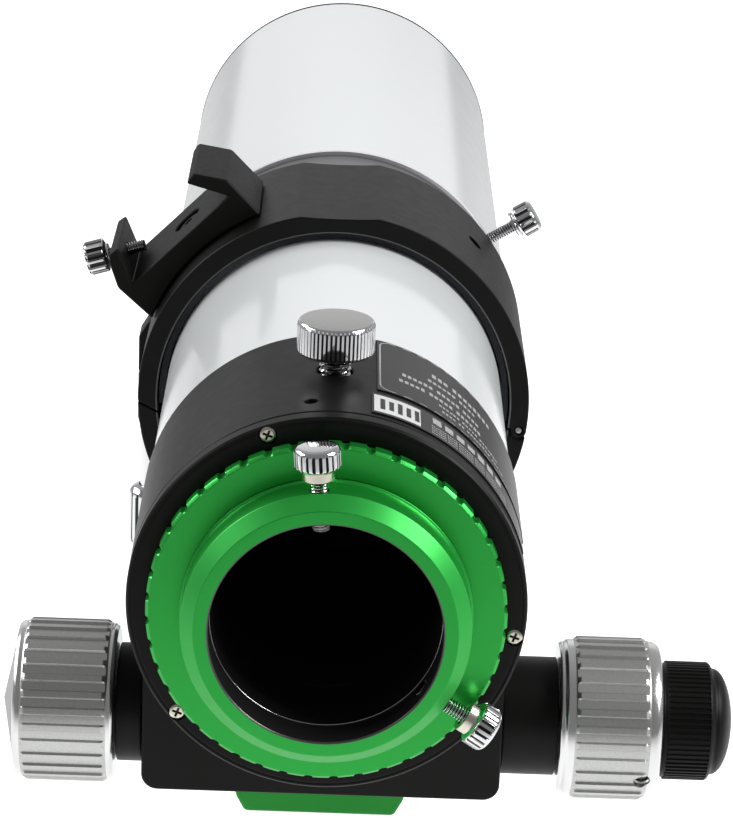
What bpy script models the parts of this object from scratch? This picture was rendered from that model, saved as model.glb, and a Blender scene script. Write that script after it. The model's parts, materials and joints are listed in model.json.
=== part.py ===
"""Refracting finder scope on a hinged tube ring and dovetail bar.

The optical axis runs along +Y towards the objective, +Z is up. The origin is the centre of the
dovetail bar's bottom face, under the middle of the tube ring. Dimensions below are millimetres,
and every mesh is built in metres. Stations along the tube are measured forward from the focuser
housing's rear face.
"""
import math

import bmesh
import bpy
from mathutils import Matrix, Vector

MM = 0.001

# ---------------------------------------------------------------- driving dimensions
GAP = 0.3                    # clearance between neighbouring pieces

AXIS_HEIGHT = 84.4           # optical axis above the dovetail's bottom face
HOUSING_REAR_Y = -160.5      # housing's rear face, in the part's frame
RING_STATION = 160.5         # middle of the tube ring

BORE_RADIUS = 25.5           # two-inch eyepiece barrel
COLLAR_RADIUS = 31.75
ADAPTER_REAR = -15.7
ADAPTER_FRONT = -5.14
FLANGE_RADIUS = 39.75
FLANGE_REAR = -4.84
FLANGE_FRONT = -0.5
FOCUS_LOCK_STATION = 31.8
ADAPTER_SCREW_STATION = -10.5
ADAPTER_SCREW_ANGLES = (94.5, -33.0)
ADAPTER_SCREWS_OUT = (0.0, 2.4)

HOUSING_RADIUS = 44.4
PLATE_THICKNESS = 4.0
HOUSING_FRONT = 57.6
CAVITY_RADIUS = 40.2
TUBE_RADIUS = 43.6
TUBE_INNER = 41.9
TUBE_FRONT = 335.0

DRAW_RADIUS = 31.0
DRAW_INNER = 28.6
DRAW_FRONT = 100.0

RING_RADIUS = 51.0
RING_INNER = 45.9
RING_WIDTH = 53.1
RING_FLAT = 50.0             # distance of the flat top from the optical axis
HINGE_RADIUS = 49.0          # hinge pin's distance from the optical axis
HINGE_ANGLE = -7.0           # degrees, seen from behind
KNUCKLE_RADIUS = 2.0
KNUCKLE_SEAT = 2.75
KNUCKLE_HALF = 8.9           # half length of the middle knuckle
PIN_RADIUS = 0.9
PIN_HOLE = 1.25

SHIELD_RADIUS = 48.2
SHIELD_INNER = 47.0
SHIELD_REAR = 189.0
SHIELD_FRONT = 395.9
COLLAR_FRONT = 209.0         # end of the shield's thick rear collar
COLLAR_INNER = 45.6

BLOCK_HALF_WIDTH = 41.3
BLOCK_BOTTOM = -53.5         # below the optical axis
BLOCK_REAR = 14.5
BLOCK_FRONT = 52.0
PINION_STATION = 32.0
PINION_DROP = -39.5
MODULE = 0.8
PINION_TEETH = 14
RACK_REAR = 24.0
RACK_TEETH = 29
GEAR_HALF_WIDTH = 4.0
BACKLASH = 0.16
ADDENDUM = 0.65
DEDENDUM = 0.85
PRESSURE_ANGLE = math.radians(20.0)
SHAFT_RADIUS = 2.5
HUB_RADIUS = 13.8
KNOB_RADIUS = 19.0

BAR_LENGTH = 190.0
BAR_TOP = 15.4               # above the dovetail's bottom face
BOLT_SPACING = 30.0

SHOE_LENGTH = 31.0
SHOE_ANGLE = 45.0            # tilt of the shoe's groove across the ring
SHOE_FLOOR = 57.0            # groove floor above the optical axis

MANY = 32                    # facets round the large turned parts
SOME = 24
FEW = 12

# ---------------------------------------------------------------- scene and materials
for item in list(bpy.data.objects):
    bpy.data.objects.remove(item, do_unlink=True)


def look(name, colour, roughness, metallic):
    """A plain Principled material."""
    made = bpy.data.materials.new(name)
    made.use_nodes = True
    shader = made.node_tree.nodes["Principled BSDF"]
    shader.inputs["Base Color"].default_value = (*colour, 1.0)
    shader.inputs["Roughness"].default_value = roughness
    shader.inputs["Metallic"].default_value = metallic
    return made


WHITE_PAINT = look("white_paint", (0.86, 0.88, 0.90), 0.12, 0.0)
BLACK_ANODISED = look("black_anodised", (0.018, 0.018, 0.020), 0.38, 0.3)
GREEN_ANODISED = look("green_anodised", (0.030, 0.330, 0.070), 0.28, 0.8)
SILVER = look("silver_aluminium", (0.62, 0.63, 0.64), 0.36, 1.0)
CHROME = look("chrome", (0.72, 0.72, 0.73), 0.10, 1.0)
STEEL = look("steel", (0.45, 0.45, 0.46), 0.25, 1.0)
MATT_BLACK = look("matt_black", (0.010, 0.010, 0.010), 0.85, 0.0)
FELT = look("felt", (0.020, 0.020, 0.022), 1.0, 0.0)
GLASS = look("lens_glass", (0.55, 0.70, 0.62), 0.03, 0.0)
BRASS = look("brass", (0.60, 0.42, 0.16), 0.30, 1.0)
LABEL = look("label_film", (0.10, 0.10, 0.105), 0.35, 0.0)
NYLON = look("nylon", (0.75, 0.74, 0.70), 0.55, 0.0)


# ---------------------------------------------------------------- frames
def tube_frame(station=0.0):
    """Local Z forward along the optical axis, local X to the right."""
    place = Vector((0.0, HOUSING_REAR_Y + station, AXIS_HEIGHT)) * MM
    return Matrix.Translation(place) @ Matrix.Rotation(-math.pi / 2, 4, "X")


def section_frame(front_station):
    """Local X right and local Y up, so an outline drawn from behind is extruded rearwards."""
    place = Vector((0.0, HOUSING_REAR_Y + front_station, AXIS_HEIGHT)) * MM
    return Matrix.Translation(place) @ Matrix.Rotation(math.pi / 2, 4, "X")


def axle_frame():
    """Local Z to the right along the pinion's axis."""
    place = Vector((0.0, HOUSING_REAR_Y + PINION_STATION, AXIS_HEIGHT + PINION_DROP)) * MM
    return Matrix.Translation(place) @ Matrix.Rotation(math.pi / 2, 4, "Y")


def pointing(origin, direction):
    """Local Z along a direction, from a point in the part's frame."""
    turn = Vector(direction).normalized().to_track_quat("Z", "Y").to_matrix().to_4x4()
    return Matrix.Translation(Vector(origin) * MM) @ turn


def radial_frame(station, angle, offset=(0.0, 0.0)):
    """Local Z outwards from the optical axis, at an angle counted from +X towards +Z."""
    turn = math.radians(angle)
    origin = (offset[0], HOUSING_REAR_Y + station, AXIS_HEIGHT + offset[1])
    return pointing(origin, (math.cos(turn), 0.0, math.sin(turn)))


# ---------------------------------------------------------------- bodies
def body(name, place=(0.0, 0.0, 0.0)):
    """An empty that carries the pieces of one rigid body."""
    empty = bpy.data.objects.new(name, None)
    empty.matrix_world = Matrix.Translation(Vector(place) * MM)
    bpy.context.collection.objects.link(empty)
    return empty


def polar(radius, angle):
    """A point (x, z) round the optical axis."""
    turn = math.radians(angle)
    return (radius * math.cos(turn), radius * math.sin(turn))


HINGE = polar(HINGE_RADIUS, HINGE_ANGLE)
AXLE_PLACE = (0.0, HOUSING_REAR_Y + PINION_STATION, AXIS_HEIGHT + PINION_DROP)

BASE = body("base")
COVER = body("ring_cover", (HINGE[0], 0.0, AXIS_HEIGHT + HINGE[1]))
OPTICS = body("optical_tube", (0.0, 0.0, AXIS_HEIGHT))
DEW = body("dew_shield_slide", (0.0, 0.0, AXIS_HEIGHT))
DRAW = body("drawtube_slide", (0.0, 0.0, AXIS_HEIGHT))
PINION = body("pinion_axle", AXLE_PLACE)
FINE = body("fine_focus", AXLE_PLACE)
ROTATOR = body("rotator", (0.0, 0.0, AXIS_HEIGHT))


# ---------------------------------------------------------------- shape tools
def piece(name, mesh, finish, place, carrier):
    """Turn a bmesh into a named object carried by a body."""
    bmesh.ops.recalc_face_normals(mesh, faces=mesh.faces)
    data = bpy.data.meshes.new(name)
    mesh.to_mesh(data)
    mesh.free()
    data.shade_smooth()
    data.set_sharp_from_angle(angle=math.radians(35.0))
    made = bpy.data.objects.new(name, data)
    bpy.context.collection.objects.link(made)
    if finish is not None:
        data.materials.append(finish)
    if carrier is not None:
        made.parent = carrier
        made.matrix_parent_inverse = carrier.matrix_world.inverted()
    made.matrix_world = place
    return made


def revolve(mesh, outline, facets, place=Matrix()):
    """Add a closed outline of (radius, height) points, turned round a frame's Z axis."""
    points = [mesh.verts.new((radius * MM, 0.0, height * MM)) for radius, height in outline]
    edges = []
    for index, point in enumerate(points):
        following = points[(index + 1) % len(points)]
        if point.co.x > 0.0 or following.co.x > 0.0:
            edges.append(mesh.edges.new((point, following)))
    before = set(mesh.verts) - set(points)
    bmesh.ops.spin(mesh, geom=points + edges, cent=(0, 0, 0), axis=(0, 0, 1), dvec=(0, 0, 0),
                   angle=2 * math.pi, steps=facets, use_merge=True)
    added = [vert for vert in mesh.verts if vert not in before]
    bmesh.ops.remove_doubles(mesh, verts=added, dist=1e-7)
    added = [vert for vert in mesh.verts if vert not in before]
    bmesh.ops.transform(mesh, matrix=place, verts=added)


def extrude(mesh, outline, length, place=Matrix()):
    """Add a closed outline, extruded along a frame's Z axis."""
    face = mesh.faces.new([mesh.verts.new((a * MM, b * MM, 0.0)) for a, b in outline])
    lowest = list(face.verts)
    grown = bmesh.ops.extrude_face_region(mesh, geom=[face])
    moved = [item for item in grown["geom"] if isinstance(item, bmesh.types.BMVert)]
    bmesh.ops.translate(mesh, verts=moved, vec=(0.0, 0.0, length * MM))
    bmesh.ops.transform(mesh, matrix=place, verts=lowest + moved)


def turned(name, outline, finish, place, carrier, facets=MANY):
    mesh = bmesh.new()
    revolve(mesh, outline, facets)
    return piece(name, mesh, finish, place, carrier)


def extruded(name, outline, length, finish, place, carrier):
    mesh = bmesh.new()
    extrude(mesh, outline, length)
    return piece(name, mesh, finish, place, carrier)


def guide(name, turns=(), prisms=(), facets=FEW):
    """A helper solid that is left out of the finished part, made of separate turned shapes and
    prisms. A turned shape is (outline, frame), and a prism is (outline, length, frame)."""
    mesh = bmesh.new()
    for outline, place in turns:
        revolve(mesh, outline, facets, place)
    for outline, length, place in prisms:
        extrude(mesh, outline, length, place)
    made = piece(name, mesh, None, Matrix(), None)
    made.hide_render = True
    made.display_type = "WIRE"
    return made


def combine(target, tool, operation):
    """Join a helper solid to a piece, or cut the piece with it."""
    step = target.modifiers.new(tool.name, "BOOLEAN")
    step.operation = operation
    step.solver = "EXACT"
    step.object = tool


def cut(target, name, turns=(), prisms=(), facets=FEW):
    combine(target, guide(name, turns, prisms, facets), "DIFFERENCE")


def rod(radius, low, high):
    """The outline of a plain round bar."""
    return [(0.0, low), (radius, low), (radius, high), (0.0, high)]


def stepped(steps):
    """The outline of a stepped round bar, from (radius, low, high) stretches in order."""
    outline = [(0.0, steps[0][1])]
    for radius, low, high in steps:
        outline += [(radius, low), (radius, high)]
    return outline + [(0.0, steps[-1][2])]


def tube(outer, inner, low, high):
    """The outline of a plain tube."""
    return [(inner, low), (outer, low), (outer, high), (inner, high)]


def box_outline(left, right, low, high):
    return [(left, low), (right, low), (right, high), (left, high)]


def arc(radius, start, end, steps):
    """Points (x, z) along an arc round the optical axis, both ends included."""
    return [polar(radius, start + (end - start) * step / steps) for step in range(steps + 1)]


def tilted(outline, angle):
    """Turn outline points round the optical axis."""
    turn = math.radians(angle)
    return [(a * math.cos(turn) - b * math.sin(turn), a * math.sin(turn) + b * math.cos(turn))
            for a, b in outline]


# ---------------------------------------------------------------- dovetail bar
SLOT_LENGTH = 40.0
SLOT_HALF_WIDTH = 3.3
SLOT_OFFSET = 60.0           # slot's middle from the bar's middle


def bolt_frame(side):
    """Local Z up the axis of the rear (-1) or front (1) bolt."""
    return pointing((0.0, side * BOLT_SPACING / 2, 0.0), (0, 0, 1))


def dovetail_bar():
    """Green bar with bevelled lower edges, undercut flanks, two slots and two bolt holes."""
    half = [(18.6, 0.0), (21.0, 4.5), (21.0, 7.4), (18.2, 14.2), (18.2, BAR_TOP)]
    outline = half + [(-a, b) for a, b in reversed(half)]
    place = Matrix.Translation(Vector((0.0, BAR_LENGTH / 2, 0.0)) * MM)
    place = place @ Matrix.Rotation(math.pi / 2, 4, "X")
    bar = extruded("dovetail_bar", outline, BAR_LENGTH, GREEN_ANODISED, place, BASE)
    bolt_hole = stepped([(5.6, -1.0, 6.8), (3.3, 6.8, BAR_TOP + 1.0)])
    run = SLOT_LENGTH / 2 - SLOT_HALF_WIDTH
    front = [(a, b + run) for a, b in arc(SLOT_HALF_WIDTH, 0, 180, 6)]
    rear = [(a, b - run) for a, b in arc(SLOT_HALF_WIDTH, 180, 360, 6)]
    turns = []
    prisms = []
    for side in (-1, 1):
        turns.append((bolt_hole, bolt_frame(side)))
        slot_place = Matrix.Translation(Vector((0.0, side * SLOT_OFFSET, -1.0)) * MM)
        prisms.append((front + rear, BAR_TOP + 2.0, slot_place))
    cut(bar, "bar_holes", turns, prisms)


def dovetail_bolts():
    """Socket screws from under the bar into the ring's foot."""
    outline = [(0.0, 0.6), (4.6, 0.6), (5.0, 1.0), (5.0, 6.5), (3.0, 6.5), (3.0, 29.5), (0.0, 29.5)]
    for name, side in (("dovetail_bolt_rear", -1), ("dovetail_bolt_front", 1)):
        bolt = turned(name, outline, STEEL, bolt_frame(side), BASE, FEW)
        cut(bolt, name + "_socket", [(rod(2.6, 0.0, 3.6), bolt_frame(side))], facets=6)


# ---------------------------------------------------------------- tube ring
SPLIT_OUTER = 182.0          # left split on the outside, in degrees
SPLIT_INNER = 185.6
SPLIT_LIFT = 0.42            # how far the upper half's split faces are turned up, in degrees
BOSS_OUTER = -52.3
BOSS_INNER = -47.0
BOSS_BOTTOM = -17.8
BOSS_TOP = 13.0
BOSS_HALF_WIDTH = 4.6
CLAMP_X = -49.2
HINGE_SPLIT = 0.2            # half the gap between the halves at the hinge, in degrees


def split_height(x, lift):
    """Height of the slanting left split at a distance from the optical axis."""
    outer = polar(RING_RADIUS, SPLIT_OUTER - lift)
    inner = polar(RING_INNER, SPLIT_INNER - lift)
    slope = (inner[1] - outer[1]) / (inner[0] - outer[0])
    return outer[1] + slope * (x - outer[0])


def ring_front():
    return section_frame(RING_STATION + RING_WIDTH / 2)


def hinge_frame():
    place = Vector((HINGE[0], 0.0, AXIS_HEIGHT + HINGE[1])) * MM
    return Matrix.Translation(place) @ Matrix.Rotation(-math.pi / 2, 4, "X")


def hinge_cutter(middle):
    """Stepped bar along the hinge: wide seats for the other half's knuckles, and a narrow
    stretch inside this half's own knuckles."""
    end = KNUCKLE_HALF + (0.0 if middle else GAP)
    past = RING_WIDTH / 2 + 1.0
    own = PIN_HOLE + GAP
    if middle:
        return stepped([(KNUCKLE_SEAT, -past, -end), (own, -end, end), (KNUCKLE_SEAT, end, past)])
    return stepped([(own, -past, -end), (KNUCKLE_SEAT, -end, end), (own, end, past)])


def knuckles(middle):
    """Outlines of the knuckles of the lower half (the middle one) or the upper half."""
    if middle:
        end = KNUCKLE_HALF - 0.15
        return [tube(KNUCKLE_RADIUS, PIN_HOLE, -end, end)]
    inner = KNUCKLE_HALF + GAP + 0.15
    outer = RING_WIDTH / 2 - 0.15
    return [tube(KNUCKLE_RADIUS, PIN_HOLE, -outer, -inner),
            tube(KNUCKLE_RADIUS, PIN_HOLE, inner, outer)]


def fit_half(half, name, middle, boss, clamp_hole, holes):
    """Add the clamp boss, cut the hinge seats and all holes, then add the hinge knuckles."""
    boss_front = section_frame(RING_STATION + BOSS_HALF_WIDTH)
    boss_guide = guide(name + "_boss", prisms=[(boss, 2 * BOSS_HALF_WIDTH, boss_front)])
    combine(half, boss_guide, "UNION")
    clamp = pointing((CLAMP_X, HOUSING_REAR_Y + RING_STATION, AXIS_HEIGHT), (0, 0, 1))
    turns = [(hinge_cutter(middle), hinge_frame()), (clamp_hole, clamp)] + holes
    cut(half, name + "_holes", turns, facets=16)
    own = [(outline, hinge_frame()) for outline in knuckles(middle)]
    combine(half, guide(name + "_knuckles", own, facets=16), "UNION")


def ring_lower():
    """Lower half of the tube ring with its foot."""
    foot_half = 17.5
    foot_bottom = BAR_TOP + GAP - AXIS_HEIGHT
    foot_turn = math.degrees(math.asin(foot_half / RING_RADIUS))
    foot = [(-foot_half, -58.0), (-20.5, -63.5), (-20.5, foot_bottom),
            (20.5, foot_bottom), (20.5, -63.5), (foot_half, -58.0)]
    hinge_end = 360.0 + HINGE_ANGLE - HINGE_SPLIT
    outline = arc(RING_RADIUS, SPLIT_OUTER, 270.0 - foot_turn, 9) + foot
    outline += arc(RING_RADIUS, 270.0 + foot_turn, hinge_end, 9)
    outline += arc(RING_INNER, hinge_end, SPLIT_INNER, 24)
    half = extruded("ring_lower", outline, RING_WIDTH, BLACK_ANODISED, ring_front(), BASE)
    boss = [(BOSS_OUTER + 1.0, BOSS_BOTTOM), (BOSS_INNER, BOSS_BOTTOM),
            (BOSS_INNER, split_height(BOSS_INNER, 0.0)), (BOSS_OUTER, split_height(BOSS_OUTER, 0.0)),
            (BOSS_OUTER, BOSS_BOTTOM + 4.0)]
    bolts = [(rod(3.3, 10.0, 30.5), bolt_frame(side)) for side in (-1, 1)]
    neck_end = BOSS_BOTTOM - 0.1
    clamp_hole = stepped([(2.9, -30.0, neck_end), (2.2, neck_end, 0.5)])
    fit_half(half, "ring_lower", True, boss, clamp_hole, bolts)


def ring_upper():
    """Upper half of the tube ring, with a flat on top."""
    flat_turn = math.degrees(math.acos(RING_FLAT / RING_RADIUS))
    outline = arc(RING_RADIUS, HINGE_ANGLE + HINGE_SPLIT, 90.0 - flat_turn, 10)
    outline += arc(RING_RADIUS, 90.0 + flat_turn, SPLIT_OUTER - SPLIT_LIFT, 11)
    outline += arc(RING_INNER, SPLIT_INNER - SPLIT_LIFT, HINGE_ANGLE + HINGE_SPLIT, 24)
    half = extruded("ring_upper", outline, RING_WIDTH, BLACK_ANODISED, ring_front(), COVER)
    boss = [(BOSS_OUTER, split_height(BOSS_OUTER, SPLIT_LIFT)),
            (BOSS_INNER, split_height(BOSS_INNER, SPLIT_LIFT)),
            (BOSS_INNER, BOSS_TOP), (BOSS_OUTER + 2.4, BOSS_TOP), (BOSS_OUTER, BOSS_TOP - 4.0)]
    holes = [(rod(2.2, 44.0, 52.0), radial_frame(RING_STATION + 3.0, 45.0)),
             (rod(2.3, 44.0, 53.0), radial_frame(RING_STATION, 90.0 + SHOE_ANGLE))]
    fit_half(half, "ring_upper", False, boss, rod(2.5, -6.0, 6.5), holes)


def ring_felts():
    """Felt bands between the ring's halves and the tube."""
    outer = RING_INNER - GAP
    inner = TUBE_RADIUS + 0.4
    front = section_frame(RING_STATION + 24.0)
    lower = arc(outer, 187.5, 351.0, 20) + arc(inner, 351.0, 187.5, 20)
    extruded("ring_felt_lower", lower, 48.0, FELT, front, BASE)
    upper = arc(outer, -5.5, 183.5, 24) + arc(inner, 183.5, -5.5, 24)
    extruded("ring_felt_upper", upper, 48.0, FELT, front, COVER)


def ring_hinge_pin():
    edge = RING_WIDTH / 2 - 0.4
    outline = [(0.0, -edge), (0.6, -edge), (PIN_RADIUS, -edge + 0.4), (PIN_RADIUS, edge - 0.4),
               (0.6, edge), (0.0, edge)]
    turned("ring_hinge_pin", outline, STEEL, hinge_frame(), BASE, 12)


# ---------------------------------------------------------------- finder shoe
JAW_SCREW_TIP = (-12.9, 59.6)        # in the shoe's own tilted section
JAW_SCREW_SLOPE = 151.5              # direction from tip to knob, in the same section


def shoe_frame_point(across, up):
    """A point of the shoe's tilted section in the part's frame."""
    (x, z), = tilted([(across, up)], SHOE_ANGLE)
    return (x, HOUSING_REAR_Y + RING_STATION, AXIS_HEIGHT + z)


def jaw_screw_frame():
    turn = math.radians(JAW_SCREW_SLOPE + SHOE_ANGLE)
    return pointing(shoe_frame_point(*JAW_SCREW_TIP), (math.cos(turn), 0.0, math.sin(turn)))


def finder_shoe():
    """Dovetail shoe saddled over the ring, with a fixed jaw and a jaw that holds the screw."""
    saddle = RING_RADIUS + GAP
    right_edge = 90.0 - math.degrees(math.asin(18.7 / saddle))
    left_edge = 90.0 + math.degrees(math.asin(21.7 / saddle))
    outline = arc(saddle, left_edge, right_edge, 12)
    outline += [(18.7, 60.3), (13.4, 67.6), (10.3, 66.8), (15.9, SHOE_FLOOR), (-18.6, SHOE_FLOOR),
                (-14.8, 66.4), (-17.6, 66.8), (-19.2, 65.2), (-22.4, 58.6)]
    front = section_frame(RING_STATION + SHOE_LENGTH / 2)
    shoe = extruded("finder_shoe", tilted(outline, SHOE_ANGLE), SHOE_LENGTH, BLACK_ANODISED,
                    front, COVER)
    bolt = radial_frame(RING_STATION, 90.0 + SHOE_ANGLE)
    bolt_hole = stepped([(2.3, 48.0, 53.6), (4.25, 53.6, 60.0)])
    cut(shoe, "shoe_holes", [(bolt_hole, bolt), (rod(2.0, 2.0, 12.0), jaw_screw_frame())])
    outline = [(0.0, 46.6), (2.0, 46.6), (2.0, 53.9), (3.8, 53.9), (3.8, 55.6), (3.0, 56.4),
               (0.0, 56.4)]
    screw = turned("finder_shoe_bolt", outline, STEEL, bolt, COVER, FEW)
    cut(screw, "shoe_bolt_socket", [(rod(1.4, 54.9, 58.0), bolt)], facets=6)


# ---------------------------------------------------------------- thumbscrews
def bored(outline, radius, depth):
    """Open a blind bore in the lower end of a solid turned outline."""
    low = outline[0][1]
    return [(radius, low)] + outline[1:] + [(0.0, low + depth), (radius, low + depth)]


def thumbscrew(name, place, stud, knob, bore, carrier):
    """A stud and its knob, each on its own body: the stud travels, and the knob turns on it."""
    travel = body(name + "_travel")
    travel.matrix_world = place.copy()
    travel.parent = carrier
    travel.matrix_parent_inverse = carrier.matrix_world.inverted()
    turned(name + "_stud", stud, CHROME, place, travel, FEW)
    turned(name + "_knob", bored(knob, *bore), CHROME, place, travel, 16)


def focus_lock():
    """Large knob on top of the housing that presses on the drawtube."""
    stud = [(0.0, 31.6), (2.8, 31.6), (3.7, 32.5), (3.7, 52.7), (0.0, 52.7)]
    knob = [(0.0, 48.6), (8.2, 48.6), (8.8, 49.2), (8.8, 55.7), (8.3, 56.3), (0.0, 56.3)]
    place = radial_frame(FOCUS_LOCK_STATION, 90.0)
    thumbscrew("focus_lock", place, stud, knob, (4.0, 4.4), OPTICS)


def adapter_screws():
    """Two screws that hold the eyepiece barrel."""
    names = ("adapter_screw_top", "adapter_screw_side")
    for name, angle, out in zip(names, ADAPTER_SCREW_ANGLES, ADAPTER_SCREWS_OUT):
        place = radial_frame(ADAPTER_SCREW_STATION, angle)
        stud = [(0.0, 22.8 + out), (1.3, 22.8 + out), (1.95, 23.4 + out), (1.95, 40.2 + out),
                (0.0, 40.2 + out)]
        knob = [(0.0, 34.4 + out), (3.6, 34.4 + out), (3.6, 36.6 + out), (5.05, 37.2 + out),
                (5.05, 41.0 + out), (4.1, 41.9 + out), (0.0, 41.9 + out)]
        thumbscrew(name, place, stud, knob, (2.25, 6.1), ROTATOR)


def dew_lock():
    """Screw through the shield's collar that holds it on the tube."""
    stud = [(0.0, 44.0), (1.2, 44.0), (1.8, 44.6), (1.8, 61.5), (0.0, 61.5)]
    knob = [(0.0, 56.9), (3.8, 56.9), (3.8, 58.1), (2.8, 58.1), (2.8, 58.6), (4.6, 58.9),
            (4.6, 62.9), (3.8, 63.7), (0.0, 63.7)]
    thumbscrew("dew_lock", radial_frame(201.0, 32.0), stud, knob, (2.1, 4.9), DEW)


def ring_clamp():
    """Shouldered screw from below, through the lower half into the upper half."""
    place = pointing((CLAMP_X, HOUSING_REAR_Y + RING_STATION, AXIS_HEIGHT), (0, 0, -1))
    stud = [(0.0, -4.0), (1.3, -4.0), (1.8, -3.5), (1.8, 18.1), (2.5, 18.1), (2.5, 47.6),
            (0.0, 47.6)]
    knob = [(0.0, 34.6), (4.2, 34.6), (5.5, 35.9), (5.5, 50.6), (4.6, 52.0), (0.0, 52.0)]
    thumbscrew("ring_clamp", place, stud, knob, (2.8, 13.3), BASE)


def shoe_screw():
    """Screw in the shoe's jaw."""
    stud = [(0.0, 0.0), (1.2, 0.0), (1.7, 0.5), (1.7, 14.3), (0.0, 14.3)]
    knob = [(0.0, 9.6), (2.9, 9.6), (2.9, 10.6), (4.65, 10.8), (4.65, 15.2), (3.8, 16.2),
            (0.0, 16.2)]
    thumbscrew("shoe_screw", jaw_screw_frame(), stud, knob, (2.0, 5.0), COVER)


# ---------------------------------------------------------------- tube and objective
def main_tube():
    outline = tube(TUBE_RADIUS, TUBE_INNER, HOUSING_FRONT + GAP, TUBE_FRONT)
    turned("main_tube", outline, WHITE_PAINT, tube_frame(), OPTICS)


def baffle(name, station, stop_radius):
    """Knife-edged stop ring inside the tube."""
    outer = TUBE_INNER - GAP
    outline = [(stop_radius, station), (outer - 1.0, station - 1.5), (outer - 1.0, station - 5.0),
               (outer, station - 5.0), (outer, station + 0.8), (stop_radius + 1.0, station + 0.8)]
    turned(name, outline, MATT_BLACK, tube_frame(), OPTICS, SOME)


CELL_REAR = 323.0
CELL_FRONT = 372.0
CELL_RADIUS = 45.4
LENS_RADIUS = 41.5
LENS_SEAT = 341.3


def objective_cell():
    """Cell with a spigot in the tube's front end and a pocket for the lenses."""
    outline = [(39.5, CELL_REAR), (TUBE_INNER - GAP, CELL_REAR),
               (TUBE_INNER - GAP, TUBE_FRONT + GAP), (CELL_RADIUS, TUBE_FRONT + GAP),
               (CELL_RADIUS, CELL_FRONT - 1.0), (CELL_RADIUS - 1.0, CELL_FRONT),
               (LENS_RADIUS + GAP, CELL_FRONT), (LENS_RADIUS + GAP, LENS_SEAT - GAP),
               (39.5, LENS_SEAT - GAP)]
    turned("objective_cell", outline, BLACK_ANODISED, tube_frame(), OPTICS)


def lens_face(station, sag, steps, outward):
    """Points from the rim to the axis, or back, of a spherical face of a given sag."""
    points = []
    for step in range(steps + 1):
        radius = LENS_RADIUS * (1 - step / steps)
        points.append((radius, station + sag * (1 - (radius / LENS_RADIUS) ** 2)))
    return list(reversed(points)) if outward else points


REAR_LENS_EDGE = 9.0
SPACER_THICKNESS = 0.8
FRONT_LENS_EDGE = 4.0


def lenses():
    """Air-spaced doublet, its spacer and the ring that holds it."""
    place = tube_frame()
    rear_front = LENS_SEAT + REAR_LENS_EDGE
    outline = lens_face(LENS_SEAT, 0.5, 3, True) + lens_face(rear_front, -3.3, 3, False)
    turned("rear_lens", outline, GLASS, place, OPTICS, SOME)
    spacer_low = rear_front + GAP
    spacer_high = spacer_low + SPACER_THICKNESS
    turned("lens_spacer", tube(41.4, 40.2, spacer_low, spacer_high), MATT_BLACK, place, OPTICS, SOME)
    front_rear = spacer_high + GAP
    front_front = front_rear + FRONT_LENS_EDGE
    outline = lens_face(front_rear, -3.4, 3, True) + lens_face(front_front, 2.7, 3, False)
    turned("front_lens", outline, GLASS, place, OPTICS, SOME)
    ring_low = front_front + GAP
    outline = [(40.6, ring_low), (41.5, ring_low), (41.5, ring_low + 6.0), (39.8, ring_low + 6.0),
               (39.8, ring_low + 2.5)]
    turned("lens_retaining_ring", outline, MATT_BLACK, place, OPTICS, SOME)


# ---------------------------------------------------------------- dew shield
def dew_shield():
    """Sliding shield with a thick rear collar, a felt band and a black front rim."""
    place = tube_frame()
    outline = [(COLLAR_INNER, SHIELD_REAR), (SHIELD_RADIUS, SHIELD_REAR),
               (SHIELD_RADIUS, SHIELD_FRONT - 1.8), (SHIELD_INNER, SHIELD_FRONT - 1.8),
               (SHIELD_INNER, COLLAR_FRONT), (COLLAR_INNER, COLLAR_FRONT)]
    shield = turned("dew_shield", outline, WHITE_PAINT, place, DEW)
    cut(shield, "dew_lock_tap", [(rod(2.1, 44.0, 52.0), radial_frame(201.0, 32.0))])
    outline = [(46.2, SHIELD_FRONT - 3.2), (46.7, SHIELD_FRONT - 3.2), (46.7, SHIELD_FRONT - 1.5),
               (48.3, SHIELD_FRONT - 1.5), (48.3, SHIELD_FRONT - 0.4), (47.9, SHIELD_FRONT),
               (46.2, SHIELD_FRONT)]
    turned("dew_shield_rim", outline, BLACK_ANODISED, place, DEW)
    felt = tube(COLLAR_INNER - GAP, TUBE_RADIUS + 0.35, SHIELD_REAR + 1.5, SHIELD_REAR + 9.0)
    turned("dew_shield_felt", felt, FELT, place, DEW)


# ---------------------------------------------------------------- focuser
RACK_SLOT_HALF = 4.5
RACK_SLOT_BOTTOM = -35.3
GUIDE_INNER = DRAW_RADIUS + GAP
GUIDE_OUTER = 32.8
GUIDE_REAR = 5.6
GUIDE_FRONT = 51.4
GUIDE_WIDTH = 3.6
CAVITY_REAR = 11.5
CAVITY_FRONT = 49.5


def rack_slot():
    """Channel under the drawtube for the rack."""
    outline = box_outline(-RACK_SLOT_HALF, RACK_SLOT_HALF, RACK_SLOT_BOTTOM, -29.0)
    return guide("rack_slot", prisms=[(outline, 80.0, section_frame(75.0))])


RACK_SLOT = rack_slot()


def housing_bore():
    """Inside of the housing: two guide-ring seats and the cavity between them."""
    near = DRAW_RADIUS + 0.7
    seat = GUIDE_OUTER + GAP
    rear_seat = GUIDE_REAR - GAP
    front_seat = GUIDE_FRONT + GUIDE_WIDTH + GAP
    return stepped([(near, -1.0, rear_seat), (seat, rear_seat, CAVITY_REAR),
                    (CAVITY_RADIUS, CAVITY_REAR, CAVITY_FRONT), (seat, CAVITY_FRONT, front_seat),
                    (near, front_seat, 80.0)])


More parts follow.
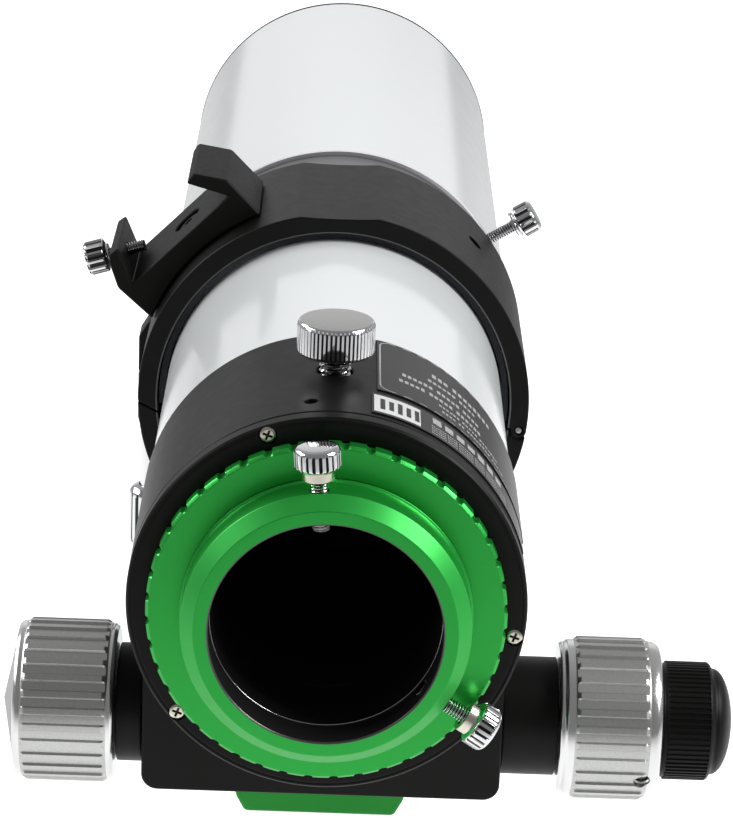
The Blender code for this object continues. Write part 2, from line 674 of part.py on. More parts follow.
def block_outline():
    """Section of the pinion block below the round housing, with rounded lower corners."""
    corner = 5.0
    left = [(-BLOCK_HALF_WIDTH + corner + corner * math.cos(math.radians(turn)),
             BLOCK_BOTTOM + corner + corner * math.sin(math.radians(turn)))
            for turn in (180, 210, 240, 270)]
    right = [(-a, b) for a, b in reversed(left)]
    return [(-BLOCK_HALF_WIDTH, -12.0)] + left + right + [(BLOCK_HALF_WIDTH, -12.0)]


PLATE_SCREWS = (109.5, -8.0, -140.5)
PLATE_SCREW_RADIUS = 42.2


def plate_screw_frame(angle):
    x, z = polar(PLATE_SCREW_RADIUS, angle)
    return pointing((x, HOUSING_REAR_Y, AXIS_HEIGHT + z), (0, 1, 0))


def focuser_housing():
    """Round housing with the pinion block under it and a spigot in the main tube."""
    rear = PLATE_THICKNESS + GAP
    spigot = TUBE_INNER - GAP
    outline = [(0.0, rear), (HOUSING_RADIUS, rear), (HOUSING_RADIUS, HOUSING_FRONT - 0.4),
               (HOUSING_RADIUS - 0.4, HOUSING_FRONT), (spigot, HOUSING_FRONT),
               (spigot, HOUSING_FRONT + 12.0), (0.0, HOUSING_FRONT + 12.0)]
    housing = turned("focuser_housing", outline, BLACK_ANODISED, tube_frame(), OPTICS)
    length = BLOCK_FRONT - BLOCK_REAR
    block = guide("pinion_block", prisms=[(block_outline(), length, section_frame(BLOCK_FRONT))])
    combine(housing, block, "UNION")
    cut(housing, "housing_bore", [(housing_bore(), tube_frame())], facets=MANY)
    combine(housing, RACK_SLOT, "DIFFERENCE")
    pocket = box_outline(-5.0, 5.0, -47.0, -36.0)
    cut(housing, "pinion_pocket", prisms=[(pocket, 15.0, section_frame(PINION_STATION + 7.5))])
    seat = 5.5
    bore = stepped([(seat, -45.0, -35.9), (SHAFT_RADIUS + 0.45, -35.9, 35.9), (seat, 35.9, 45.0)])
    cut(housing, "axle_bore", [(bore, axle_frame())], facets=20)
    taps = [(rod(1.5, 3.0, 10.0), plate_screw_frame(angle)) for angle in PLATE_SCREWS]
    taps.append((rod(4.1, 38.0, 46.0), radial_frame(FOCUS_LOCK_STATION, 90.0)))
    cut(housing, "housing_taps", taps)


def guide_rings():
    """Nylon rings, open at the rack, that carry the drawtube."""
    for name, station in (("guide_ring_rear", GUIDE_REAR), ("guide_ring_front", GUIDE_FRONT)):
        outline = tube(GUIDE_OUTER, GUIDE_INNER, station, station + GUIDE_WIDTH)
        ring = turned(name, outline, NYLON, tube_frame(), OPTICS)
        combine(ring, RACK_SLOT, "DIFFERENCE")


def rear_plate():
    """End plate of the housing and its three countersunk screws."""
    outline = [(DRAW_RADIUS + 1.6, 0.0), (HOUSING_RADIUS - 0.4, 0.0), (HOUSING_RADIUS, 0.4),
               (HOUSING_RADIUS, PLATE_THICKNESS), (DRAW_RADIUS + 1.6, PLATE_THICKNESS)]
    plate = turned("focuser_rear_plate", outline, BLACK_ANODISED, tube_frame(), OPTICS)
    combine(plate, RACK_SLOT, "DIFFERENCE")
    seats = stepped([(2.05, -1.0, 1.7), (1.5, 1.7, 5.0)])
    cut(plate, "plate_screw_holes", [(seats, plate_screw_frame(angle)) for angle in PLATE_SCREWS])
    screw = [(0.0, 0.15), (1.6, 0.15), (1.75, 0.3), (1.75, 1.3), (1.15, 1.5), (1.15, 9.5), (0.0, 9.5)]
    for index, angle in enumerate(PLATE_SCREWS):
        place = plate_screw_frame(angle)
        made = turned(f"plate_screw_{index + 1}", screw, STEEL, place, OPTICS, 12)
        for turn in (0, 1):
            slot_place = place @ Matrix.Rotation(turn * math.pi / 2, 4, "Z")
            slot = (box_outline(-1.1, 1.1, -0.2, 0.2), 1.0, slot_place)
            cut(made, f"plate_screw_slot_{index}_{turn}", prisms=[slot])


def label_plates():
    """Two thin blank plates wrapped round the right side of the housing."""
    low = HOUSING_RADIUS + GAP
    high = low + 0.35
    for name, start, end, rear, front in (("data_plate", 10.0, 77.6, 22.0, 56.4),
                                          ("notice_plate", 15.0, 79.2, 6.4, 19.0)):
        outline = arc(high, start, end, 10) + arc(low, end, start, 10)
        extruded(name, outline, front - rear, LABEL, section_frame(front), OPTICS)


def hubs_and_bearings():
    """Bearings in the block's sides and the round hubs that cover them."""
    place = axle_frame()
    side = BLOCK_HALF_WIDTH + GAP
    left = [(3.2, -47.7), (13.2, -47.7), (HUB_RADIUS, -47.1), (HUB_RADIUS, -side), (3.2, -side)]
    turned("left_hub", left, BLACK_ANODISED, place, OPTICS, SOME)
    right = [(3.2, side), (HUB_RADIUS, side), (HUB_RADIUS, 53.7), (13.2, 54.3), (3.2, 54.3)]
    turned("right_hub", right, BLACK_ANODISED, place, OPTICS, SOME)
    for name, low in (("left_bearing", -40.9), ("right_bearing", 36.2)):
        turned(name, tube(5.2, SHAFT_RADIUS + GAP, low, low + 4.7), BRASS, place, OPTICS, 20)


def drawtube():
    outline = [(DRAW_INNER, -4.0), (DRAW_RADIUS, -4.0), (DRAW_RADIUS, DRAW_FRONT),
               (DRAW_INNER, DRAW_FRONT)]
    turned("drawtube", outline, BLACK_ANODISED, tube_frame(), DRAW)


PITCH = math.pi * MODULE
PITCH_RADIUS = MODULE * PINION_TEETH / 2
TOOTH = PITCH / 2 - BACKLASH


def rack():
    """Rack under the drawtube, a tooth gap over the pinion's axis."""
    pitch_line = PINION_DROP + PITCH_RADIUS
    slope = math.tan(PRESSURE_ANGLE)
    tip_half = TOOTH / 2 - ADDENDUM * slope
    root_half = TOOTH / 2 + DEDENDUM * slope
    gap_offset = (PINION_STATION - RACK_REAR) / PITCH - 0.5
    first = PINION_STATION - PITCH * (math.floor(gap_offset) + 0.5)
    outline = []
    for index in range(RACK_TEETH):
        middle = first + index * PITCH
        outline += [(middle - root_half, pitch_line + DEDENDUM),
                    (middle - tip_half, pitch_line - ADDENDUM),
                    (middle + tip_half, pitch_line - ADDENDUM),
                    (middle + root_half, pitch_line + DEDENDUM)]
    top = -DRAW_RADIUS - GAP
    rear = outline[0][0] - 0.6
    front = outline[-1][0] + 0.6
    outline = [(rear, top), (rear, pitch_line + DEDENDUM)] + outline
    outline += [(front, pitch_line + DEDENDUM), (front, top)]
    place = Vector((-GEAR_HALF_WIDTH, HOUSING_REAR_Y, AXIS_HEIGHT)) * MM
    turn = Matrix(((0, 0, 1, 0), (1, 0, 0, 0), (0, 1, 0, 0), (0, 0, 0, 1)))
    extruded("rack", outline, 2 * GEAR_HALF_WIDTH, STEEL, Matrix.Translation(place) @ turn, DRAW)


def gear_outline():
    """Involute teeth, one of them pointing straight up at the rack."""
    base = PITCH_RADIUS * math.cos(PRESSURE_ANGLE)
    tip = PITCH_RADIUS + ADDENDUM
    root = PITCH_RADIUS - DEDENDUM - 0.1

    def half_angle(radius):
        if radius <= base:
            return TOOTH / (2 * PITCH_RADIUS) + math.tan(PRESSURE_ANGLE) - PRESSURE_ANGLE
        local = math.acos(base / radius)
        involute = math.tan(PRESSURE_ANGLE) - PRESSURE_ANGLE - math.tan(local) + local
        return TOOTH / (2 * PITCH_RADIUS) + involute

    flank = [root, base, PITCH_RADIUS, tip]
    outline = []
    for tooth in range(PINION_TEETH):
        middle = math.pi + 2 * math.pi * tooth / PINION_TEETH
        rising = [(radius, middle - half_angle(radius)) for radius in flank]
        falling = [(radius, middle + half_angle(radius)) for radius in reversed(flank)]
        for radius, turn in rising + falling:
            outline.append((radius * math.cos(turn), radius * math.sin(turn)))
    return outline


def pinion_shaft():
    """Shaft with the pinion cut in one piece."""
    place = axle_frame()
    outline = [(0.0, -66.0), (SHAFT_RADIUS, -66.0), (SHAFT_RADIUS, 60.7), (0.0, 60.7)]
    shaft = turned("pinion_shaft", outline, STEEL, place, PINION, 20)
    gear_place = place @ Matrix.Translation(Vector((0.0, 0.0, -GEAR_HALF_WIDTH)) * MM)
    teeth = guide("pinion_teeth", prisms=[(gear_outline(), 2 * GEAR_HALF_WIDTH, gear_place)])
    combine(shaft, teeth, "UNION")


SET_SCREW_X = 74.0
SET_SCREW_TURN = 205.5       # round the axle, from forward towards up


def set_screw_frame():
    turn = math.radians(SET_SCREW_TURN)
    origin = (SET_SCREW_X, AXLE_PLACE[1], AXLE_PLACE[2])
    return pointing(origin, (0.0, math.cos(turn), math.sin(turn)))


def coarse_knobs():
    """Silver focus knobs at both ends of the pinion shaft."""
    place = axle_frame()
    left = [(16.8, -70.9), (17.6, -71.2), (18.4, -70.6), (KNOB_RADIUS, -69.8), (KNOB_RADIUS, -48.9),
            (18.2, -48.0), (SHAFT_RADIUS + GAP, -48.0), (SHAFT_RADIUS + GAP, -66.3),
            (0.0, -66.3), (0.0, -67.9), (16.8, -67.9)]
    turned("left_knob", left, SILVER, place, PINION, SOME)
    cap = [(0.0, -68.2), (0.0, -74.6), (16.5, -71.2), (16.5, -68.2)]
    turned("left_knob_cap", cap, SILVER, place, PINION, SOME)
    right = [(SHAFT_RADIUS + GAP, 54.6), (18.2, 54.6), (KNOB_RADIUS, 55.5), (KNOB_RADIUS, 75.8),
             (18.3, 77.5), (16.6, 78.3), (1.9, 78.3), (1.9, 61.0), (SHAFT_RADIUS + GAP, 61.0)]
    knob = turned("right_knob", right, SILVER, place, PINION, SOME)
    screw_place = set_screw_frame()
    cut(knob, "set_screw_hole", [(rod(1.6, 4.0, 21.0), screw_place)])
    screw = turned("right_knob_set_screw", rod(1.3, 4.4, 17.0), STEEL, screw_place, PINION, 12)
    cut(screw, "set_screw_socket", [(rod(0.7, 15.0, 18.0), screw_place)], facets=6)


def fine_focus():
    """Black fine-focus knob on the reduction shaft."""
    place = axle_frame()
    turned("fine_shaft", rod(1.6, 61.3, 88.0), STEEL, place, FINE, FEW)
    knob = [(1.9, 78.7), (13.2, 78.7), (13.85, 79.4), (13.85, 90.2), (13.0, 91.1), (12.2, 92.0),
            (8.6, 93.9), (4.0, 95.3), (0.0, 95.6), (0.0, 88.3), (1.9, 88.3)]
    turned("fine_knob", knob, BLACK_ANODISED, place, FINE, SOME)


def rotator():
    """Knurled rotator ring and the two-inch eyepiece adapter that it carries."""
    outline = [(DRAW_RADIUS + GAP, FLANGE_FRONT), (DRAW_RADIUS + GAP, FLANGE_REAR),
               (FLANGE_RADIUS - 0.6, FLANGE_REAR), (FLANGE_RADIUS, FLANGE_REAR + 0.6),
               (FLANGE_RADIUS, FLANGE_FRONT - 0.6), (FLANGE_RADIUS - 0.6, FLANGE_FRONT)]
    turned("rotator_ring", outline, GREEN_ANODISED, tube_frame(), ROTATOR)
    nose = DRAW_INNER - GAP
    outline = [(BORE_RADIUS, 14.0), (BORE_RADIUS, ADAPTER_REAR), (COLLAR_RADIUS - 3.0, ADAPTER_REAR),
               (COLLAR_RADIUS, ADAPTER_REAR + 3.0), (COLLAR_RADIUS, ADAPTER_FRONT),
               (nose, ADAPTER_FRONT), (nose, 14.0)]
    adapter = turned("eyepiece_adapter", outline, GREEN_ANODISED, tube_frame(), ROTATOR)
    taps = [(rod(2.25, 23.0, 34.0), radial_frame(ADAPTER_SCREW_STATION, angle))
            for angle in ADAPTER_SCREW_ANGLES]
    cut(adapter, "adapter_taps", taps)


# ---------------------------------------------------------------- assembly
dovetail_bar()
dovetail_bolts()
ring_lower()
ring_upper()
ring_felts()
ring_hinge_pin()
finder_shoe()
main_tube()
baffle("baffle_front", 290.0, 37.0)
baffle("baffle_rear", 230.0, 33.5)
objective_cell()
lenses()
dew_shield()
focuser_housing()
guide_rings()
rear_plate()
label_plates()
hubs_and_bearings()
drawtube()
rack()
pinion_shaft()
coarse_knobs()
fine_focus()
rotator()
focus_lock()
adapter_screws()
dew_lock()
ring_clamp()
shoe_screw()
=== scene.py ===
"""The looks of a refracting finder scope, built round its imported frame.

Numbers are millimetres and degrees. Stations run forward along the optical axis from the rear
face of the focuser's end plate, and heights run along each turned piece's own axis.
"""
import json
from math import acos, asin, cos, degrees, hypot, pi, radians, sin, sqrt

import bmesh
import bpy
from mathutils import Matrix, Vector

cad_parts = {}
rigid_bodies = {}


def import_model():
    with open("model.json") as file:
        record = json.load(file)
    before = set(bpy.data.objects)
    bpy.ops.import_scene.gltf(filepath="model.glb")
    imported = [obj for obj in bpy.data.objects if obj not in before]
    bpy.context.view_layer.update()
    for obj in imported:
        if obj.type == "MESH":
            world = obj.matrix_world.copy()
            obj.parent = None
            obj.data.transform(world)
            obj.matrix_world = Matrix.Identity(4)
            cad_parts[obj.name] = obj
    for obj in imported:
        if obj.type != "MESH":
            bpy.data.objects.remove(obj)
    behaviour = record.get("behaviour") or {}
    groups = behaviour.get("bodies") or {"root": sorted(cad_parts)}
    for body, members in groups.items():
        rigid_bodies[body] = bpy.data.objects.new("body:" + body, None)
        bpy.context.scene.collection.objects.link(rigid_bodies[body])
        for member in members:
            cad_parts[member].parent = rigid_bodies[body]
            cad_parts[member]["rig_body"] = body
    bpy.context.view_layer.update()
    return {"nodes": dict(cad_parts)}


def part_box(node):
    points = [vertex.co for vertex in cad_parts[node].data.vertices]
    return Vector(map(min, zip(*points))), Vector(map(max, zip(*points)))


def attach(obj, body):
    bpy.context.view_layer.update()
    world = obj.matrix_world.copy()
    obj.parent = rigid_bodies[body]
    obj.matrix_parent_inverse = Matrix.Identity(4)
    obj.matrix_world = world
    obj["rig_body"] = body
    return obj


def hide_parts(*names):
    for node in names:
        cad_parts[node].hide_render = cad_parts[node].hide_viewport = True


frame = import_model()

MM = 0.001
FINE = 160                   # facets round the large turned pieces
MEDIUM = 96
SMALL = 48


# ---------------- places read from the frame
def moved(x, y, z):
    return Matrix.Translation(Vector((x, y, z)) * MM)


def turned_by(angle, axis):
    return Matrix.Rotation(radians(angle), 4, axis)


def low(node):
    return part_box(node)[0] / MM


def high(node):
    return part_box(node)[1] / MM


def middle(node):
    return (low(node) + high(node)) / 2


def outer(node):
    """Radius of a piece turned round the optical axis."""
    return (high(node).x - low(node).x) / 2


AXIS_Z = middle("main_tube").z
REAR_Y = low("focuser_rear_plate").y
AXLE = middle("fine_knob")


def span(node):
    """First and last station of a node."""
    return low(node).y - REAR_Y, high(node).y - REAR_Y


def reach(node):
    """Lowest and highest x of a node on the pinion's axle."""
    return low(node).x, high(node).x


def along_axis():
    """Local Z forward along the optical axis, heights are stations."""
    return moved(0.0, REAR_Y, AXIS_Z) @ turned_by(-90.0, "X")


def section(station):
    """Local X right and Y up, with Z running rearwards from a station."""
    return moved(0.0, REAR_Y + station, AXIS_Z) @ turned_by(90.0, "X")


def along_axle():
    """Local Z to the right along the pinion's axle."""
    return moved(0.0, AXLE.y, AXLE.z) @ turned_by(90.0, "Y")


def pointing(origin, direction):
    turn = Vector(direction).normalized().to_track_quat("Z", "Y").to_matrix().to_4x4()
    return moved(*origin) @ turn


def radial(y, angle):
    """Local Z outwards from the optical axis, at an angle counted from +X towards +Z."""
    turn = radians(angle)
    return pointing((0.0, y, AXIS_Z), (cos(turn), 0.0, sin(turn)))


# ---------------- materials
MIX_COLOUR_A, MIX_COLOUR_B, MIX_COLOUR = 6, 7, 2     # sockets of a Mix node that mixes colours


class Paint:
    """A Principled material under construction."""

    def __init__(self, name, colour, roughness, metallic=0.0):
        self.material = bpy.data.materials.new(name)
        self.material.use_nodes = True
        self.tree = self.material.node_tree
        self.shader = self.tree.nodes["Principled BSDF"]
        self.colour = (*colour, 1.0)
        self.shader.inputs["Base Color"].default_value = self.colour
        self.shader.inputs["Roughness"].default_value = roughness
        self.shader.inputs["Metallic"].default_value = metallic
        self.roughness = roughness
        self.place = self.tree.nodes.new("ShaderNodeTexCoord").outputs["Object"]
        self.normal = None

    def set(self, **values):
        for name, value in values.items():
            self.shader.inputs[name.replace("_", " ")].default_value = value

    def node(self, kind, **settings):
        made = self.tree.nodes.new("ShaderNode" + kind)
        for name, value in settings.items():
            if name in made.inputs:
                made.inputs[name].default_value = value
            else:
                setattr(made, name, value)
        return made

    def texture(self, first, second=3.0):
        """Noise, given by its size in millimetres and its detail, or turning marks, given by
        their kind and size: RINGS run round the local Z axis, and BANDS along it."""
        if isinstance(first, str):
            made = self.node("TexWave", Scale=1.0 / (second * MM), Distortion=1.2,
                             wave_type=first)
            made.inputs["Detail"].default_value = 2.0
            made.rings_direction = "Z"
            made.bands_direction = "Z"
        else:
            made = self.node("TexNoise", Scale=1.0 / (first * MM), Detail=second)
        self.tree.links.new(self.place, made.inputs["Vector"])
        return made.outputs["Fac"]

    def uneven(self, value, amount):
        """Roughness that varies with a texture."""
        made = self.node("MapRange")
        made.inputs["To Min"].default_value = self.roughness - amount
        made.inputs["To Max"].default_value = self.roughness + amount
        self.tree.links.new(value, made.inputs["Value"])
        self.tree.links.new(made.outputs["Result"], self.shader.inputs["Roughness"])

    def mottle(self, value, other):
        """Colour that drifts towards another one."""
        made = self.node("Mix", data_type="RGBA")
        made.inputs[MIX_COLOUR_A].default_value = self.colour
        made.inputs[MIX_COLOUR_B].default_value = (*other, 1.0)
        self.tree.links.new(value, made.inputs["Factor"])
        self.tree.links.new(made.outputs[MIX_COLOUR], self.shader.inputs["Base Color"])

    def bump(self, value, depth, strength=1.0):
        """Relief with a depth in millimetres."""
        made = self.node("Bump", Strength=strength, Distance=depth * MM)
        self.tree.links.new(value, made.inputs["Height"])
        if self.normal:
            self.tree.links.new(self.normal, made.inputs["Normal"])
        self.normal = made.outputs["Normal"]
        self.tree.links.new(self.normal, self.shader.inputs["Normal"])


def paint(name, colour, roughness, metallic=0.0, drift=None, vary=None, relief=(), **settings):
    """A material. Textures come first in drift (texture, other colour), vary (texture, change
    of roughness) and each relief (texture, depth, strength)."""
    made = Paint(name, colour, roughness, metallic)
    made.set(**settings)
    if drift:
        made.mottle(made.texture(*drift[0]), drift[1])
    if vary:
        made.uneven(made.texture(*vary[0]), vary[1])
    for texture, depth, strength in relief:
        made.bump(made.texture(*texture), depth, strength)
    return made.material


def grey(level):
    return (level, level, level)


def green_anodised(name, roughness, metallic, coat):
    return paint(name, (0.019, 0.400, 0.050), roughness, metallic,
                 ((25.0,), (0.023, 0.430, 0.057)), ((2.0,), 0.05),
                 [(("RINGS", 0.16), 0.002, 0.35), ((0.25,), 0.006, 0.5)],
                 Coat_Weight=coat, Coat_Roughness=0.22)


def print_ink(name, level):
    return paint(name, grey(level), 0.45, 0.0, ((0.6,), grey(level * 0.8)))


WHITE = paint("gloss_white", (0.70, 0.72, 0.73), 0.14, 0.0, ((60.0,), (0.68, 0.70, 0.71)),
              ((8.0,), 0.04), [((2.4, 2.0), 0.010, 0.5)], IOR=1.38)
BLACK = paint("satin_black", (0.0024, 0.0024, 0.0021), 0.42, 0.0,
              ((12.0,), (0.0060, 0.0060, 0.0056)), ((3.0,), 0.05), [((0.22, 2.0), 0.010, 0.6)],
              IOR=1.25)
FLAT = paint("flat_black", grey(0.006), 0.75, 0.0, ((5.0,), grey(0.009)), None,
             [((0.3,), 0.03, 0.7)], Specular_IOR_Level=0.25)
# the slightly coarser black of the finder shoe
CAST = paint("cast_black", (0.0050, 0.0050, 0.0045), 0.48, 0.0,
             ((6.0,), (0.0075, 0.0075, 0.0068)), ((1.5,), 0.07), [((0.45,), 0.03, 0.6)], IOR=1.2)
GREEN = green_anodised("green_anodised", 0.36, 0.75, 0.2)
CHAMFER = green_anodised("green_chamfer", 0.44, 0.55, 0.1)
BAR_GREEN = paint("bar_green", (0.010, 0.215, 0.022), 0.42, 0.75,
                  ((25.0,), (0.013, 0.235, 0.027)), ((2.0,), 0.05), [((0.25,), 0.006, 0.5)],
                  Coat_Weight=0.15, Coat_Roughness=0.3)
SILVER = paint("blasted_silver", (0.46, 0.465, 0.45), 0.36, 1.0,
               ((0.45, 2.0), (0.64, 0.645, 0.63)), None, [((0.45, 2.0), 0.02, 0.55)])
TURNED = paint("turned_silver", (0.27, 0.27, 0.265), 0.38, 1.0, None, (("RINGS", 0.5), 0.04),
               [(("RINGS", 0.5), 0.003, 0.4)])
POLISHED = paint("polished_silver", grey(0.78), 0.20, 1.0, None, ((1.0,), 0.04),
                 [(("BANDS", 0.20), 0.002, 0.4)])
CHROME = paint("chrome", (0.80, 0.80, 0.81), 0.07, 1.0, ((4.0,), (0.74, 0.745, 0.76)),
               ((0.8,), 0.03), [((0.9,), 0.003, 0.4)])
# painted shade: dark chrome laid in thread roots, flute hollows and screw recesses, where shade
# falls
GROOVE_SHADE = paint("chrome_painted_groove_shade", grey(0.035), 0.30, 1.0, None, ((1.0,), 0.05),
               [((0.5,), 0.003, 0.3)])
# painted highlight: the end of a thumbscrew that reaches into the bore, a pale, dull grey in place
# of chrome so that it shows bright
TIP_HIGHLIGHT = paint("tip_painted_highlight", (0.80, 0.80, 0.79), 0.40, 0.25, None, ((0.6,), 0.06),
            [((0.4,), 0.004, 0.4)])
NICKEL = paint("nickel", (0.70, 0.66, 0.57), 0.24, 1.0, None, ((0.6,), 0.06),
               [(("RINGS", 0.12), 0.004, 0.5)])
STEEL = paint("steel", (0.46, 0.46, 0.47), 0.30, 1.0, ((3.0,), (0.38, 0.38, 0.40)),
              ((0.8,), 0.06), [(("BANDS", 0.15), 0.004, 0.5)])
BRASS = paint("brass", (0.62, 0.43, 0.17), 0.28, 1.0, relief=[(("RINGS", 0.15), 0.004, 0.5)])
NYLON = paint("nylon", (0.72, 0.71, 0.66), 0.5, relief=[((0.5,), 0.01, 0.5)],
              Subsurface_Weight=0.1)
FELT = paint("felt", (0.020, 0.023, 0.030), 0.95, 0.0, ((0.8,), (0.040, 0.044, 0.056)), None,
             [((0.25, 5.0), 0.15, 0.8)], Sheen_Weight=0.5, Sheen_Roughness=0.6,
             Specular_IOR_Level=0.2)
GLASS = paint("coated_glass", (0.90, 0.97, 0.93), 0.02, 0.0, ((40.0,), (0.86, 0.95, 0.92)),
              Transmission_Weight=1.0, IOR=1.52, Coat_Weight=0.4, Coat_Roughness=0.02)
LABEL = paint("label_film", grey(0.010), 0.34, 0.0, ((1.5,), grey(0.014)), None,
              [((0.5,), 0.004, 0.5)], IOR=1.33)
# thin chamfers where the anodising catches the light
EDGE = paint("bright_edge", (0.11, 0.11, 0.105), 0.32, 0.7, None, ((1.0,), 0.05),
             [((0.4,), 0.004, 0.4)])
# painted shade: grey on the dew shield's rear collar, beside the tube ring
COLLAR_SHADE = paint("collar_painted_shade", (0.135, 0.13, 0.135), 0.45, 0.0, ((8.0,), (0.155, 0.15, 0.158)),
               None, [((0.4,), 0.006, 0.4)])
INK = print_ink("ink_grey", 0.42)
TILE = print_ink("ink_white", 0.72)


# ---------------- outlines
def soften(outline, size, steps=3):
    """Round the corners of an outline, leaving alone points on the axis and gentle bends."""
    made = []
    count = len(outline)
    for index, point in enumerate(outline):
        here = Vector(point)
        before = Vector(outline[index - 1]) - here
        after = Vector(outline[(index + 1) % count]) - here
        bend = 180.0 - degrees(before.angle(after, pi))
        if bend < 20.0 or abs(point[0]) < 1e-6:
            made.append(point)
            continue
        start = here + before.normalized() * min(size, 0.4 * before.length)
        end = here + after.normalized() * min(size, 0.4 * after.length)
        for step in range(steps + 1):
            share = step / steps
            mixed = start.lerp(here, share).lerp(here.lerp(end, share), share)
            made.append(tuple(mixed))
    return made


def polar(radius, angle):
    turn = radians(angle)
    return (radius * cos(turn), radius * sin(turn))


def arc(radius, start, end, steps):
    return [polar(radius, start + (end - start) * step / steps) for step in range(steps + 1)]


def tilted(outline, angle):
    turn = radians(angle)
    return [(a * cos(turn) - b * sin(turn), a * sin(turn) + b * cos(turn))
            for a, b in outline]


def solid(*points):
    """Outline of a solid piece or a bore, closed on the axis at both ends."""
    return [(0.0, points[0][1]), *points, (0.0, points[-1][1])]


def tube(outside, inside, start, end):
    return [(inside, start), (outside, start), (outside, end), (inside, end)]


def rod(radius, start, end):
    return solid((radius, start), (radius, end))


# ---------------- meshes
def lathe(outline, facets=FINE, ceiling=None):
    """A mesh of an outline of (radius, height) turned round local Z. ceiling(step, height) gives
    the largest radius at a facet, which is how ribs, notches and threads are cut."""
    points, rings, faces = [], [], []
    for radius, height in outline:
        if radius < 1e-6:
            rings.append([len(points)] * facets)
            points.append((0.0, 0.0, height * MM))
            continue
        rings.append(list(range(len(points), len(points) + facets)))
        for step in range(facets):
            turn = 2 * pi * step / facets
            limit = ceiling(step, height) if ceiling else radius
            size = min(radius, limit) * MM
            points.append((size * cos(turn), size * sin(turn), height * MM))
    open_ends = outline[0][0] < 1e-6 and outline[-1][0] < 1e-6
    for index in range(len(outline) - (1 if open_ends else 0)):
        here, following = rings[index], rings[(index + 1) % len(outline)]
        for step in range(facets):
            after = (step + 1) % facets
            corners = (here[step], here[after], following[after], following[step])
            face = list(dict.fromkeys(corners))
            if len(face) > 2:
                faces.append(face)
    return from_points(points, faces)


def from_points(points, faces):
    data = bpy.data.meshes.new("shape")
    data.from_pydata(points, [], faces)
    mesh = bmesh.new()
    mesh.from_mesh(data)
    bpy.data.meshes.remove(data)
    bmesh.ops.remove_doubles(mesh, verts=mesh.verts, dist=1e-7)
    bmesh.ops.recalc_face_normals(mesh, faces=mesh.faces)
    return mesh


def prism(outline, length, edge=0.0, steps=2):
    """A mesh of an outline extruded along local Z, with its sharp edges rounded."""
    count = len(outline)
    points = [(a * MM, b * MM, 0.0) for a, b in outline]
    points += [(a * MM, b * MM, length * MM) for a, b in outline]
    faces = [list(range(count)), list(range(count, 2 * count))]
    for index in range(count):
        after = (index + 1) % count
        faces.append([index, after, count + after, count + index])
    mesh = from_points(points, faces)
    if edge:
        sharp = [item for item in mesh.edges if item.calc_face_angle(0.0) > radians(25)]
        bmesh.ops.bevel(mesh, geom=sharp, offset=edge * MM, segments=steps, profile=0.5,
                        affect="EDGES", clamp_overlap=True)
    return mesh


def thing(name, mesh, finish, place):
    """An object from a mesh, with a finish and a place."""
    data = bpy.data.meshes.new(name)
    mesh.to_mesh(data)
    mesh.free()
    data.materials.append(finish)
    made = bpy.data.objects.new(name, data)
    bpy.context.scene.collection.objects.link(made)
    made.matrix_world = place
    return made


def carve(target, operation, *tools):
    """Cut or join helper meshes, given as (mesh, place), and keep the result."""
    for mesh, place in tools:
        helper = thing("helper", mesh, target.data.materials[0], place)
        step = target.modifiers.new("carve", "BOOLEAN")
        step.operation = operation
        step.solver = "EXACT"
        step.object = helper
        bpy.context.view_layer.update()
        ready = target.evaluated_get(bpy.context.evaluated_depsgraph_get())
        result = bpy.data.meshes.new_from_object(ready)
        target.modifiers.clear()
        target.data = result
        bpy.data.objects.remove(helper)
    return target


def shade(made, angle=32.0):
    data = made.data
    data.shade_smooth()
    data.set_sharp_from_angle(angle=radians(angle))
    weighted = made.modifiers.new("even shading", "WEIGHTED_NORMAL")
    weighted.keep_sharp = True


def repaint(made, finish, chosen):
    """Give another finish to the faces that are chosen by the radius, y and height, in
    millimetres, of their centre."""
    data = made.data
    data.materials.append(finish)
    index = len(data.materials) - 1
    for face in data.polygons:
        x, y, height = face.center / MM
        if chosen(hypot(x, y), y, height):
            face.material_index = index


def settle(made, node, stands_for=True):
    """Let a finished piece ride with a CAD node, and stand for it."""
    shade(made)
    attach(made, frame["nodes"][node]["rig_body"])
    if stands_for:
        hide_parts(node)


def turned(node, outline, finish, place, facets=FINE, ceiling=None, edge=0.25, cuts=(),
           patches=()):
    """A turned piece that stands for a CAD node. Patches are (finish, chosen faces)."""
    if edge:
        outline = soften(outline, edge)
    made = thing(node + "_fine", lathe(outline, facets, ceiling), finish, place)
    carve(made, "DIFFERENCE", *cuts)
    for other, chosen in patches:
        repaint(made, other, chosen)
    settle(made, node)


def grip(count, steps, land, top, depth, start, end):
    """Ceiling for straight ribs: `land` of every `steps` facets stand proud."""
    def ceiling(step, height):
        if not start <= height <= end:
            return top
        return top if step % steps < land else top - depth
    return count * steps, ceiling


def screw_thread(radius, pitch, start, end, facets=24):
    """Outline and ceiling of a thread."""
    rows = max(2, round((end - start) / pitch * 6))
    heights = [start + (end - start) * row / rows for row in range(rows + 1)]
    outline = [(0.0, start), (radius * 0.7, start)] + [(radius, height) for height in heights]
    outline += [(radius * 0.7, end), (0.0, end)]

    def ceiling(step, height):
        phase = (height / pitch - step / facets) % 1.0
        return radius - pitch * 0.55 * abs(2 * phase - 1) * (1.0 if radius > 1 else 0.5)
    return outline, ceiling


# ---------------- tube and dew shield
def white_tube():
    start, end = span("main_tube")
    radius = outer("main_tube")
    turned("main_tube", tube(radius, radius - 1.7, start, end), WHITE, along_axis(), edge=0.35,
           patches=[(FLAT, lambda r, y, h: r < radius - 1.5)])


